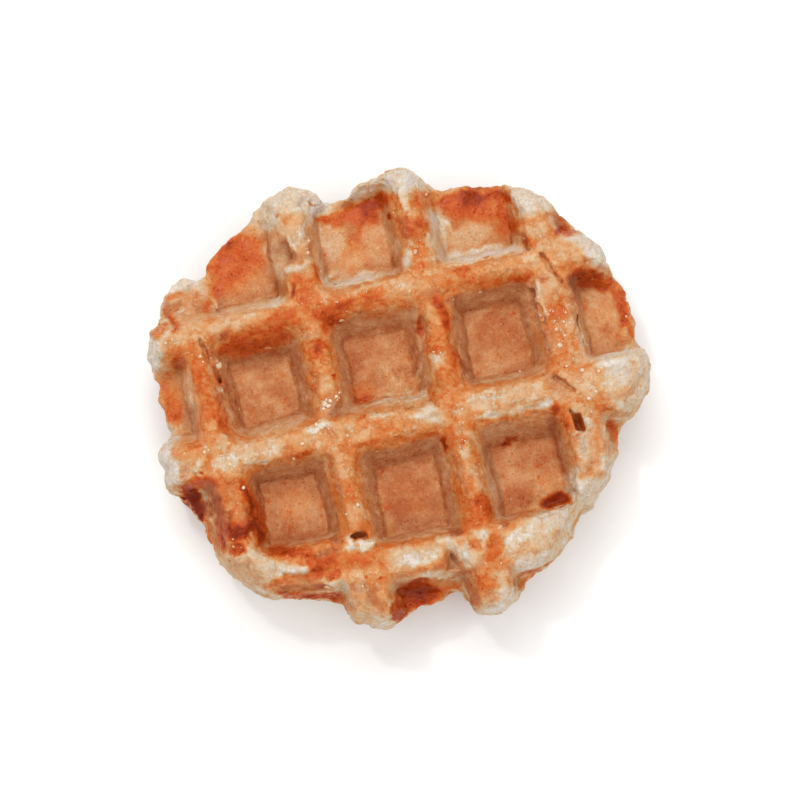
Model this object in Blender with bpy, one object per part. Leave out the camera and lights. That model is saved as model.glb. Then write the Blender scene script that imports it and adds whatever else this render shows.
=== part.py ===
"""Liege waffle: one thick piece of baked brioche dough, pressed in a two-plate iron.

One closed solid: a lobed slab of dough with square, tapered pockets pressed
into both faces. The pockets of the two faces lie over each other and leave a
thin web between them; what is left between the pockets are the ridges. The
waffle lies flat on the ridge tips of its underside, with the origin at the
bottom centre of its box, +X along the long side and +Z up.
"""
import bpy
import bmesh
import math

# ---------------------------------------------------------------- dimensions
MM = 0.001                    # the sizes below are in millimetres

THICKNESS = 24.0              # ridge tips of one face to ridge tips of the other
WEB = 5.5                     # dough left between an upper and a lower pocket

PITCH_X = 24.5                # ridge to ridge across the length
PITCH_Y = 26.4                # ridge to ridge across the width
RIDGE_X0 = -39.2              # the first of the ridges that run along Y
RIDGE_Y0 = -32.5              # the first of the ridges that run along X
RIDGES_X = 4
RIDGES_Y = 3

FLOOR = 13.4                  # pocket width at its floor
MOUTH = 19.8                  # pocket width at its mouth
FLOOR_CORNER = 2.6            # corner radius of a pocket at its floor
MOUTH_CORNER = 4.4            # corner radius of a pocket at its mouth
FLOOR_FILLET = 1.0            # floor narrower than the wall's foot, each side
MOUTH_ROUND = 1.0             # ridge top rounded away, each side

# outline: a blunt oval with the lobes where dough ran out along the ridges
OVAL_A = 47.5                 # half length of the plain oval
OVAL_B = 43.5                 # half width of the plain oval
OVAL_POWER = 1.9
# name: (direction in degrees, half spread in degrees, how far it stands out)
LOBES = {
    "right_end": (352, 14, 4.5),
    "right_shoulder": (25, 35, 5.5),
    "upper_right_ridge": (48, 19, 4.75),
    "top_right_lobe": (76, 23, 4.75),
    "top_right_notch": (70, 9, -2.25),
    "top_left_lobe": (108, 13, 4.5),
    "upper_left_shoulder": (126, 31, 5.25),
    "left_corner_lobe": (146, 13, 7.0),
    "left_corner_side": (158, 10, 5.0),
    "left_upper_side": (166, 21, 3.25),
    "left_end": (187, 13, 5.0),
    "lower_left_shoulder": (219, 34, 6.0),
    "lower_left_notch": (236, 11, -2.0),
    "bottom_left_lobe": (252, 15, 4.75),
    "bottom_notch": (269, 10, -0.5),
    "bottom_right_lobe": (283, 13, 5.75),
    "lower_right_side": (299, 16, 2.75),
    "lower_right_rim": (323, 13, 1.25),
}
OUTLINE_POINTS = 96
EDGE_ROLL = 5.5               # how far the rim rolls in towards each face
EDGE_POWER = 2.3              # 2 is a round rim, more is squarer
EDGE_RINGS = 8                # rings of faces from face to face


# ---------------------------------------------------------------- the outline
def lobe(angle, centre, spread, height):
    away = abs((angle - centre + 180.0) % 360.0 - 180.0) / spread
    return height * (1.0 - away * away) ** 2 if away < 1.0 else 0.0


def outline_radius(angle):
    c = abs(math.cos(math.radians(angle))) / OVAL_A
    s = abs(math.sin(math.radians(angle))) / OVAL_B
    radius = (c ** OVAL_POWER + s ** OVAL_POWER) ** (-1.0 / OVAL_POWER)
    return radius + sum(lobe(angle, *size) for size in LOBES.values())


def outline_centre():
    points = []
    for i in range(OUTLINE_POINTS):
        angle = 360.0 * i / OUTLINE_POINTS
        r = outline_radius(angle)
        points.append((r * math.cos(math.radians(angle)),
                       r * math.sin(math.radians(angle))))
    xs = [p[0] for p in points]
    ys = [p[1] for p in points]
    return (min(xs) + max(xs)) / 2.0, (min(ys) + max(ys)) / 2.0


CENTRE_X, CENTRE_Y = outline_centre()


def loft(bm, rings):
    """Close a stack of equal rings, lowest first, into one body."""
    loops = [[bm.verts.new((x * MM, y * MM, z * MM)) for x, y, z in ring]
             for ring in rings]
    n = len(loops[0])
    for low, high in zip(loops, loops[1:]):
        for i in range(n):
            j = (i + 1) % n
            bm.faces.new((low[i], low[j], high[j], high[i]))
    bm.faces.new(list(reversed(loops[0])))
    bm.faces.new(loops[-1])


def slab_rings():
    half = THICKNESS / 2.0
    rings = []
    for k in range(EDGE_RINGS + 1):
        swing = math.radians(-90.0 + 180.0 * k / EDGE_RINGS)
        rise = math.sin(swing)
        height = math.copysign(abs(rise) ** (2.0 / EDGE_POWER), rise)
        inset = EDGE_ROLL * (1.0 - math.cos(swing) ** (2.0 / EDGE_POWER)
                             if 0 < k < EDGE_RINGS else 1.0)
        ring = []
        for i in range(OUTLINE_POINTS):
            angle = 360.0 * i / OUTLINE_POINTS
            r = outline_radius(angle) - inset
            ring.append((r * math.cos(math.radians(angle)) - CENTRE_X,
                         r * math.sin(math.radians(angle)) - CENTRE_Y,
                         half + half * height))
        rings.append(ring)
    return rings


# ---------------------------------------------------------------- the iron's teeth
def rounded_square(cx, cy, z, width, corner):
    """A square ring with round corners, counter-clockwise."""
    half = width / 2.0
    ring = []
    for quarter in range(4):
        for step in range(4):
            a = math.radians(90.0 * quarter + 30.0 * step)
            sx = 1.0 if quarter in (0, 3) else -1.0
            sy = 1.0 if quarter in (0, 1) else -1.0
            ring.append((cx + sx * (half - corner) + corner * math.cos(a),
                         cy + sy * (half - corner) + corner * math.sin(a), z))
    return ring


def tooth_profile():
    """(height above the waffle's middle plane, width, corner radius)."""
    floor = WEB / 2.0
    top = THICKNESS / 2.0
    deep = top - floor
    return (
        (floor, FLOOR - 2.0 * FLOOR_FILLET, FLOOR_CORNER * 0.6),
        (floor + 0.5, FLOOR, FLOOR_CORNER),
        (floor + 0.88 * deep, MOUTH - 0.5, MOUTH_CORNER),
        (top - 0.25, MOUTH + MOUTH_ROUND, MOUTH_CORNER + 0.4),
        (top + 1.0, MOUTH + 2.2 * MOUTH_ROUND, MOUTH_CORNER + 0.6),
    )


def tooth_places():
    """Centres of the teeth that reach the dough, the four far corners apart."""
    for column in range(-1, RIDGES_X):
        for row in range(-1, RIDGES_Y):
            at_side = column in (-1, RIDGES_X - 1)
            at_end = row in (-1, RIDGES_Y - 1)
            if at_side and at_end:
                continue
            yield (RIDGE_X0 + PITCH_X * (column + 0.5),
                   RIDGE_Y0 + PITCH_Y * (row + 0.5))


def make_plate(name, upper):
    """All the teeth of one plate of the iron, as a cutter."""
    bm = bmesh.new()
    middle = THICKNESS / 2.0
    for cx, cy in tooth_places():
        rings = []
        for height, width, corner in tooth_profile():
            z = middle + height if upper else middle - height
            rings.append(rounded_square(cx, cy, z, width, corner))
        loft(bm, rings if upper else list(reversed(rings)))
    bmesh.ops.recalc_face_normals(bm, faces=bm.faces)
    mesh = bpy.data.meshes.new(name)
    bm.to_mesh(mesh)
    bm.free()
    plate = bpy.data.objects.new(name, mesh)
    bpy.context.scene.collection.objects.link(plate)
    plate.hide_render = True
    plate.display_type = 'WIRE'
    return plate


# ---------------------------------------------------------------- the waffle
def crust_material():
    mat = bpy.data.materials.new("waffle_crust")
    mat.use_nodes = True
    shader = mat.node_tree.nodes["Principled BSDF"]
    shader.inputs["Base Color"].default_value = (0.70, 0.38, 0.16, 1.0)
    shader.inputs["Roughness"].default_value = 0.55
    shader.inputs["Metallic"].default_value = 0.0
    mat.diffuse_color = (0.70, 0.38, 0.16, 1.0)
    return mat


def make_waffle():
    bm = bmesh.new()
    loft(bm, slab_rings())
    bmesh.ops.recalc_face_normals(bm, faces=bm.faces)
    mesh = bpy.data.meshes.new("waffle")
    bm.to_mesh(mesh)
    bm.free()
    mesh.materials.append(crust_material())
    waffle = bpy.data.objects.new("waffle", mesh)
    bpy.context.scene.collection.objects.link(waffle)
    mesh.shade_smooth()
    mesh.set_sharp_from_angle(angle=math.radians(40.0))
    for name, upper in (("upper_plate_teeth", True), ("lower_plate_teeth", False)):
        cut = waffle.modifiers.new(name, 'BOOLEAN')
        cut.operation = 'DIFFERENCE'
        cut.solver = 'EXACT'
        cut.object = make_plate(name, upper)
    return waffle


for old in list(bpy.data.objects):
    bpy.data.objects.remove(old, do_unlink=True)
make_waffle()
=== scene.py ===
import bpy
import bmesh
import math
import time
import numpy as np
from mathutils import Matrix, Vector


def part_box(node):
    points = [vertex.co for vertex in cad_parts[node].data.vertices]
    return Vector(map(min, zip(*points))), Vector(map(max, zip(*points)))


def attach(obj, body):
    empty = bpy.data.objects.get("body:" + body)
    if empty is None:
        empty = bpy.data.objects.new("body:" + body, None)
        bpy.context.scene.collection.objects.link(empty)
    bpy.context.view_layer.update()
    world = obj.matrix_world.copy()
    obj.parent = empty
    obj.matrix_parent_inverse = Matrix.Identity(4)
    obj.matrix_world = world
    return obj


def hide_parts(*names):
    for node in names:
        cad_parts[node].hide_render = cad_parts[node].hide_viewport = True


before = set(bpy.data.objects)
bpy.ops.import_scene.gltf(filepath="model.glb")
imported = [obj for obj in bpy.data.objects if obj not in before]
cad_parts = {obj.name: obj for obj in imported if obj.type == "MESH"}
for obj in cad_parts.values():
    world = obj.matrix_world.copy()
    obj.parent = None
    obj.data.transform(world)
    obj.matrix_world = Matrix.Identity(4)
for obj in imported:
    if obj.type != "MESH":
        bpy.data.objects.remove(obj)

# One liege waffle on a plain pale floor. All lengths below are in millimetres
# and turn into metres when a mesh is made.
T0 = time.time()
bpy.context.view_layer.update()            # the CAD box, before anything is replaced
MM = 0.001

node_lo, node_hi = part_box("waffle")
THICK = (node_hi.z - node_lo.z) / MM    # ridge tips of one face to those of the other
MID = THICK / 2.0


# ------------------------------------------------------------------ small maths
def smin(a, b, k):
    h = np.maximum(k - np.abs(a - b), 0.0) / k
    return np.minimum(a, b) - h * h * k * 0.25


def smax(a, b, k):
    h = np.maximum(k - np.abs(a - b), 0.0) / k
    return np.maximum(a, b) + h * h * k * 0.25


def sstep(e0, e1, x):
    t = np.clip((x - e0) / (e1 - e0), 0.0, 1.0)
    return t * t * (3.0 - 2.0 * t)


def _hash(ix, iy, iz, seed):
    h = (ix * 374761393 + iy * 668265263 + iz * 1440662683 + seed * 974634777) & 0xFFFFFFFF
    h = ((h ^ (h >> 13)) * 1274126177) & 0xFFFFFFFF
    h = ((h ^ (h >> 15)) * 2246822519) & 0xFFFFFFFF
    return h ^ (h >> 16)


def noise(x, y, z, wave, seed):
    """Gradient noise, about -1 to 1; wave is its wavelength in mm."""
    x, y, z = np.broadcast_arrays(x, y, z)
    p = [np.asarray(c, np.float64) / wave + 1000.0 for c in (x, y, z)]
    i = [np.floor(c).astype(np.int64) for c in p]
    f = [c - k for c, k in zip(p, i)]
    u = [c * c * c * (c * (c * 6.0 - 15.0) + 10.0) for c in f]
    total = 0.0
    for dx in (0, 1):
        for dy in (0, 1):
            for dz in (0, 1):
                h = _hash(i[0] + dx, i[1] + dy, i[2] + dz, seed)
                gx = ((h & 0x3FF) / 511.5) - 1.0
                gy = (((h >> 10) & 0x3FF) / 511.5) - 1.0
                gz = (((h >> 20) & 0x3FF) / 511.5) - 1.0
                dot = gx * (f[0] - dx) + gy * (f[1] - dy) + gz * (f[2] - dz)
                w = ((u[0] if dx else 1.0 - u[0]) * (u[1] if dy else 1.0 - u[1])
                     * (u[2] if dz else 1.0 - u[2]))
                total = total + w * dot
    return total * 1.6


def rough(x, y, z, wave, seed, octaves=3, gain=0.5):
    total, weight, size = 0.0, 1.0, 0.0
    for k in range(octaves):
        total = total + weight * noise(x, y, z, wave / 2.0 ** k, seed + 7 * k)
        size += weight
        weight *= gain
    return total / size


def turned(x, y, cx, cy, deg):
    c, s = math.cos(math.radians(deg)), math.sin(math.radians(deg))
    dx, dy = x - cx, y - cy
    return c * dx + s * dy, -s * dx + c * dy


def to_line(x, y, path):
    """Distance in plan from a broken line."""
    best = None
    for (ax, ay), (bx, by) in zip(path, path[1:]):
        ex, ey = bx - ax, by - ay
        t = np.clip(((x - ax) * ex + (y - ay) * ey) / (ex * ex + ey * ey), 0.0, 1.0)
        d = np.hypot(x - ax - t * ex, y - ay - t * ey)
        best = d if best is None else np.minimum(best, d)
    return best


# ------------------------------------------------------------------ the rim
# The rim is a blunt oval with lobes where dough ran out along the ridges:
# (direction in degrees, half spread in degrees, how far it stands out)
# the oval and the lobes on it are rounded from a least-squares fit to the photograph's outline
OVAL = (48.0, 42.8, 1.8)
RIM_LOBES = [
    (3, 6, 0.6), (19.5, 6.5, -1.1), (26, 32.5, 6.25), (46, 14.5, 4.8), (68.5, 11.5, -4.25),
    (70.5, 28, 6.5), (90.5, 3.5, 0.85), (104, 6.5, 1.6), (109.5, 12, 3.9), (127, 35, 6.25),
    (137, 3.5, -1.9), (146, 12.5, 6.15), (157, 9, 4.85), (164, 16, 3.65), (181.5, 5, 3.1),
    (188.5, 9, 4.6), (197, 3.5, 1.25), (210, 3.5, 0.75), (221, 34, 6.85), (234, 12, -2.4),
    (245.5, 4, 1.8), (253.5, 11.5, 5.4), (264.5, 4, 0.85), (273.5, 5, -2.6), (283, 13.5, 6.15),
    (300, 17.5, 3.6), (318, 3.5, 0.75), (324, 14.5, 1.8), (351.5, 12, 4.05), (357, 5, 1.25),
]
RIM_TRIM = -0.25
# how wide the rim's shoulder is, round the waffle: (direction, mm)
RIM_ROLL = [
    (352, 11.0), (2, 5.0), (10, 3.0), (20, 4.0), (28, 6.5), (36, 6.0), (44, 9.0), (52, 3.5), (66, 3.5),
    (76, 6.5), (84, 4.5), (94, 4.0), (102, 8.5), (112, 9.0), (120, 4.0), (134, 3.5), (142, 5.5),
    (152, 6.0), (160, 6.5), (168, 3.5), (177, 3.5), (186, 8.5), (194, 5.5), (208, 5.5), (220, 10.0),
    (232, 7.5), (243, 5.0), (252, 7.5), (262, 4.5), (270, 3.5), (280, 7.0), (290, 6.5), (298, 7.5),
    (308, 11.5), (320, 10.0), (330, 7.5), (338, 5.0), (345, 8.5),
]


def rim_radius(deg):
    c = np.abs(np.cos(np.radians(deg))) / OVAL[0]
    s = np.abs(np.sin(np.radians(deg))) / OVAL[1]
    r = (c ** OVAL[2] + s ** OVAL[2]) ** (-1.0 / OVAL[2]) + RIM_TRIM
    for at, spread, out in RIM_LOBES:
        q = np.clip(np.abs((deg - at + 180.0) % 360.0 - 180.0) / spread, 0.0, 1.0)
        r = r + out * (1.0 - q * q) ** 2
    return r


def round_table(deg, table):
    t = sorted(table)
    a = np.array([t[-1][0] - 360.0] + [p[0] for p in t] + [t[0][0] + 360.0])
    v = np.array([t[-1][1]] + [p[1] for p in t] + [t[0][1]])
    return np.interp(np.asarray(deg) % 360.0, a, v)


# ------------------------------------------------------------------ the pockets
# One row per pocket of the upper face:
# floor x0, x1, y0, y1, mouth x0, x1, y0, y1, height of the floor
WEB_TOP = 14.75
UPPER_POCKETS = {
    "A": (-32.6, -21.4, 1.2, 13.5, -37.0, -17.2, -2.6, 18.4, 14.5),
    "B": (-9.0, 2.9, 0.6, 13.3, -12.5, 7.4, -2.7, 19.0, 14.6),
    "C": (15.8, 27.5, 0.6, 13.9, 12.1, 31.0, -2.6, 18.8, 14.5),
    "D": (-32.4, -20.8, -24.2, -12.0, -35.6, -17.0, -26.4, -8.8, 14.6),
    "E": (-8.5, 3.5, -27.5, -13.6, -12.5, 7.4, -30.2, -9.0, 14.4),
    "F": (15.7, 28.3, -28.4, -14.7, 12.2, 31.0, -30.2, -9.2, 14.6),
    "G": (-58.0, -21.3, 26.1, 58.0, -62.0, -18.2, 22.7, 62.0, 14.6),
    "H": (-9.6, 3.9, 26.6, 41.5, -12.3, 7.2, 23.4, 45.0, 14.8),
    "I": (15.2, 28.8, 26.2, 58.0, 11.4, 31.0, 22.9, 62.0, 14.6),
    "J": (40.3, 60.0, 0.4, 13.8, 38.0, 64.0, -1.8, 17.8, 14.4),
    "K": (-60.0, -44.0, 2.0, 14.0, -64.0, -41.6, -1.6, 17.2, 14.4),
    "L": (-60.0, -44.6, -26.0, -11.4, -64.0, -40.8, -30.0, -9.2, 14.6),
    "M": (-8.6, 3.6, -58.0, -39.4, -11.0, 6.4, -62.0, -36.6, 14.0),
    "N": (15.4, 29.0, -58.0, -41.4, 13.6, 31.0, -62.0, -39.6, 13.6),
    "O": (40.6, 60.0, -24.0, -14.6, 38.4, 64.0, -28.0, -12.6, 13.8),
    "P": (-34.0, -20.6, -58.0, -38.2, -36.0, -18.8, -62.0, -35.4, 13.6),
    "Q": (40.0, 60.0, 27.4, 60.0, 37.6, 64.0, 24.8, 64.0, 14.6),
}
# lumps and dents of the upper face: x, y, half length, half width, turn in degrees, height
LUMPS = [
    (-13.6, -1.2, 2.4, 1.5, 15, -2.6),        # gap in the second ridge, above the crossing
    (-17.6, 33.2, 3.0, 2.0, 75, -3.6),        # soft hollow in the upper end of the second ridge
    (-14.4, 36.0, 2.4, 1.2, 75, 0.9),
    (-16.6, 29.6, 1.8, 1.1, 20, 0.7),
    (-14.8, 41.0, 4.0, 3.0, 0, 0.8),
    (2.6, -35.2, 2.1, 1.2, 80, -3.2),         # hollow in the lower ridge
    (5.4, -34.6, 2.6, 1.0, 100, 1.3),         # the flake that stands beside it
    (9.6, -39.5, 4.0, 4.0, 0, 0.9),
    (9.6, -33.0, 1.8, 1.6, 0, 0.7),
    (-15.2, -39.8, 4.0, 4.0, 0, 0.8),
    (6.9, 12.6, 0.9, 2.8, -8, -2.2),          # small hollow on the left of the third ridge
    (34.8, -18.6, 1.8, 3.4, 0, -1.1),
    (44.5, -6.0, 5.0, 4.0, 0, 1.0),
    (38.0, -7.0, 3.0, 2.5, 0, 0.5),
    (21.0, -35.0, 6.0, 3.0, -15, 0.9),
    (26.0, -33.5, 3.0, 2.0, -30, -0.7),
    (15.6, -36.8, 2.0, 1.6, 0, 0.5),
    (-38.5, -28.5, 4.5, 3.0, -30, 0.8),
    (-30.0, -30.6, 4.0, 1.6, -8, 0.5),
    (-26.0, -32.6, 7.0, 0.9, -5, -1.0),       # fold below the lower left ridge
    (33.2, 14.0, 2.2, 3.2, 0, 0.8),           # the flake on the fourth ridge
    (34.2, 8.0, 2.4, 2.2, 0, 0.5),
    (34.6, 27.0, 3.0, 2.4, 0, 0.7),
    (33.5, 32.5, 3.5, 2.2, -30, 0.9),
    (38.0, 21.0, 3.5, 2.6, 0, 0.6),
    (-39.0, 28.8, 4.0, 2.2, 0, 1.0),
    (-44.5, 21.6, 2.2, 1.6, 20, 0.7),
    (-43.2, 24.6, 0.8, 2.0, -15, -1.2),
    (-46.4, 17.6, 1.6, 3.4, 0, 0.6),
    (-46.0, -4.0, 3.2, 2.4, 0, 0.8),
    (-45.8, -8.0, 1.3, 0.8, -30, -1.0),
    (8.6, 6.2, 1.3, 1.2, 0, 0.5),
    (8.4, 1.0, 1.8, 2.2, 0, 0.5),
    (9.6, 32.2, 2.0, 2.4, 0, 0.5),
    (-15.4, 6.4, 1.5, 2.4, 0, 0.5),
    (-15.6, 15.0, 1.1, 1.8, 0, 0.5),
    (-36.2, 7.4, 0.9, 0.8, 0, 0.6),
    (-35.9, 13.3, 0.6, 1.1, 15, 0.9),
    (-32.0, -6.0, 3.6, 2.0, 0, 0.5),
    (-24.0, -5.4, 3.0, 1.6, 0, 0.4),
    (24.0, -6.2, 4.0, 2.0, 0, 0.5),
    (0.0, -6.0, 4.0, 2.0, 0, 0.4),
    (39.8, -12.2, 1.6, 0.5, 8, -1.0),
    (-10.6, -44.6, 1.4, 1.1, 0, -0.6),
    (25.6, -28.0, 3.0, 1.2, 0, -0.5),
]
# torn holes: x, y, z, half sizes, turn in degrees
HOLES = [
    (-36.0, 10.7, 21.6, 0.42, 1.30, 4.2, 5),
    (-14.7, -26.9, 22.4, 2.0, 0.90, 3.0, 0),
    (33.85, -13.7, 22.4, 1.25, 2.0, 3.2, 3),
    (32.9, -11.3, 23.2, 0.35, 0.95, 1.8, 28),
]
# splits in the crust: half width, depth, points in plan
CRACKS = [
    (0.40, 1.3, ((-38.3, 19.0), (-37.8, 16.8), (-37.3, 14.4))),
    (0.38, 1.2, ((33.9, 22.0), (34.7, 19.0), (36.5, 15.6))),
    (0.40, 1.2, ((31.4, -3.2), (32.8, -4.8), (34.2, -6.9))),
    (0.32, 1.6, ((30.5, 15.2), (30.6, 12.6), (31.1, 9.6), (31.9, 6.8))),
    (0.40, 0.8, ((-16.4, -4.4), (-15.4, -6.4))),
    (0.45, 1.3, ((30.7, 26.6), (30.6, 25.0), (31.4, 23.4))),
    (0.40, 0.8, ((-17.8, 23.6), (-17.2, 25.8))),
    (0.35, 0.6, ((5.2, -1.8), (6.8, -4.4))),
    (0.30, 0.5, ((-46.5, -6.0), (-44.2, -8.6))),
    (0.30, 0.5, ((22.6, -37.6), (25.4, -34.2))),
    (0.30, 0.5, ((-38.0, -30.0), (-37.2, -27.2))),
    (0.30, 0.5, ((-33.4, -30.8), (-32.0, -28.6))),
]


def pocket_rise(x, y, p, foot=0.06, shoulder=0.17):
    """0 on the pocket's floor, 1 at its mouth, a little more on the ridges round it."""
    fx0, fx1, fy0, fy1, mx0, mx1, my0, my1, _ = p
    sides = [(fx0 - x) / (fx0 - mx0), (x - fx1) / (mx1 - fx1),
             (fy0 - y) / (fy0 - my0), (y - fy1) / (my1 - fy1)]
    power, total = 2.6, 0.0
    for v in sides:
        total = total + np.clip(v + 0.05, 0.0, 6.0) ** power
    t = total ** (1.0 / power) - 0.05
    rise = foot * np.logaddexp(0.0, t / foot) - shoulder * np.logaddexp(0.0, (t - 1.0) / shoulder)
    return rise + 0.11 * (1.0 - np.exp(-np.maximum(t - 1.0, 0.0) * 1.6))


def upper_height(x, y):
    """Height of the upper face, before the rim rounds it off."""
    wx = x + 0.60 * noise(x, y, 0.0, 9.0, 11) + 0.32 * noise(x, y, 0.0, 3.8, 12) + 0.22 * noise(x, y, 0.0, 1.6, 17)
    wy = y + 0.60 * noise(x, y, 0.0, 9.0, 13) + 0.32 * noise(x, y, 0.0, 3.8, 14) + 0.22 * noise(x, y, 0.0, 1.6, 18)
    crest = (THICK - 0.85 + 0.45 * noise(x, y, 0.0, 8.0, 15) + 0.45 * noise(x, y, 0.0, 3.8, 16)
             + 0.20 * noise(x, y, 0.0, 2.0, 19))
    top = None
    for p in UPPER_POCKETS.values():
        rise = pocket_rise(wx, wy, p)
        cx = np.clip((p[0] + p[1]) / 2.0, -46, 46)
        cy = np.clip((p[2] + p[3]) / 2.0, -44, 36)
        inside = (np.clip(1.0 - ((x - cx) / 7.2) ** 2, 0, 1)
                  * np.clip(1.0 - ((y - cy) / 7.6) ** 2, 0, 1)) ** 0.5
        floor = p[8] + 0.55 * inside + 0.20 * noise(x, y, 0.0, 5.0, 21)
        h = floor + (crest - floor) * rise
        top = h if top is None else smin(top, h, 0.7)
    high = sstep(WEB_TOP + 0.6, WEB_TOP + 4.0, top)
    for cx, cy, a, b, turn, dz in LUMPS:
        u, v = turned(x, y, cx, cy, turn)
        top = top + dz * np.exp(-((u / a) ** 2 + (v / b) ** 2) * 1.1) * (high if z_is_ridge(cx, cy) else 1.0)
    for width, depth, path in CRACKS:
        top = top - depth * np.exp(-(to_line(wx, wy, path) / width) ** 2)
    return top


def z_is_ridge(cx, cy):
    return not (cx > 22 and cx < 29 and cy < -26 and cy > -30)


def lower_pockets():
    """The underside's pockets: the same grid, each a little different."""
    rng = np.random.default_rng(5)
    pitch_x, pitch_y, floor, mouth = 24.5, 26.4, 13.4, 19.8
    for col in range(-1, 4):
        for row in range(-1, 3):
            if col in (-1, 3) and row in (-1, 2):
                continue
            cx, cy = -39.2 + pitch_x * (col + 0.5), -32.5 + pitch_y * (row + 0.5)
            j = rng.uniform(-0.5, 0.5, 8)
            f, m = floor / 2.0, mouth / 2.0
            yield (cx - f + j[0], cx + f + j[1], cy - f + j[2], cy + f + j[3],
                   cx - m + j[4], cx + m + j[5], cy - m + j[6], cy + m + j[7],
                   THICK - WEB_TOP + 0.4 * j[0])


LOWER_POCKETS = list(lower_pockets())


def lower_height(x, y):
    wx = x + 0.6 * noise(x, y, 9.0, 9.0, 31) + 0.25 * noise(x, y, 9.0, 3.6, 32)
    wy = y + 0.6 * noise(x, y, 9.0, 9.0, 33) + 0.25 * noise(x, y, 9.0, 3.6, 34)
    crest = 0.45 + 0.25 * noise(x, y, 9.0, 8.0, 35) + 0.22 * noise(x, y, 9.0, 3.2, 37)
    low = None
    for p in LOWER_POCKETS:
        rise = pocket_rise(wx, wy, p)
        cx, cy = (p[0] + p[1]) / 2.0, (p[2] + p[3]) / 2.0
        inside = (np.clip(1.0 - ((x - cx) / 7.2) ** 2, 0, 1)
                  * np.clip(1.0 - ((y - cy) / 7.6) ** 2, 0, 1)) ** 0.5
        floor = p[8] - 0.5 * inside + 0.2 * noise(x, y, 9.0, 5.0, 36)
        h = floor + (crest - floor) * rise
        low = h if low is None else smax(low, h, 0.7)
    return low


# ------------------------------------------------------------------ the crust's colours
def linear(rgb):
    """From the colour as it looks lit to the surface's own: part of what is seen is gloss."""
    c = np.array(rgb, float) / 255.0
    c = np.where(c <= 0.04045, c / 12.92, ((c + 0.055) / 1.055) ** 2.4)
    return np.maximum(c - 0.005, 0.20 * c) * 0.775


# Crust runs from raw dough (0) to burnt (1). GOLD is the glazed, caramelised scale and DULL the
# matt one of torn or floury dough. Each stop: how far browned, colour as it looks lit.
GOLD = [(0.00, (244, 232, 220)), (0.10, (236, 215, 190)), (0.20, (235, 200, 158)), (0.30, (234, 182, 132)),
        (0.40, (231, 162, 104)), (0.50, (225, 140, 77)), (0.60, (221, 117, 54)), (0.68, (214, 95, 40)),
        (0.77, (191, 75, 27)), (0.87, (147, 50, 21)), (1.00, (96, 34, 18))]
DULL = [(0.00, (238, 228, 217)), (0.15, (226, 204, 180)), (0.30, (216, 178, 144)), (0.45, (203, 152, 113)),
        (0.60, (182, 123, 82)), (0.75, (152, 90, 56)), (0.88, (124, 60, 44)), (1.00, (72, 34, 25))]
# name: (how far browned, share of the matt scale)
TONES = {
    "white": (0.03, 0.0), "cream": (0.12, 0.25), "flour": (0.07, 0.75), "butter": (0.20, 0.0),
    "straw": (0.24, 0.25), "blush": (0.25, 0.30), "peach": (0.33, 0.15), "gold": (0.41, 0.0),
    "honey": (0.50, 0.0), "amber": (0.585, 0.0), "orange": (0.64, 0.0), "flame": (0.70, 0.05),
    "rust": (0.76, 0.0), "brick": (0.62, 0.50), "brown": (0.72, 0.80), "wood": (0.58, 0.80),
    "chestnut": (0.83, 0.05), "maroon": (0.88, 0.0), "plum": (0.83, 0.55), "char": (0.96, 0.10),
    "taupe": (0.45, 0.90), "clay": (0.46, 0.45), "khaki": (0.42, 0.70), "floor": (0.49, 0.52),
    "wall": (0.48, 0.55),
}

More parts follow.
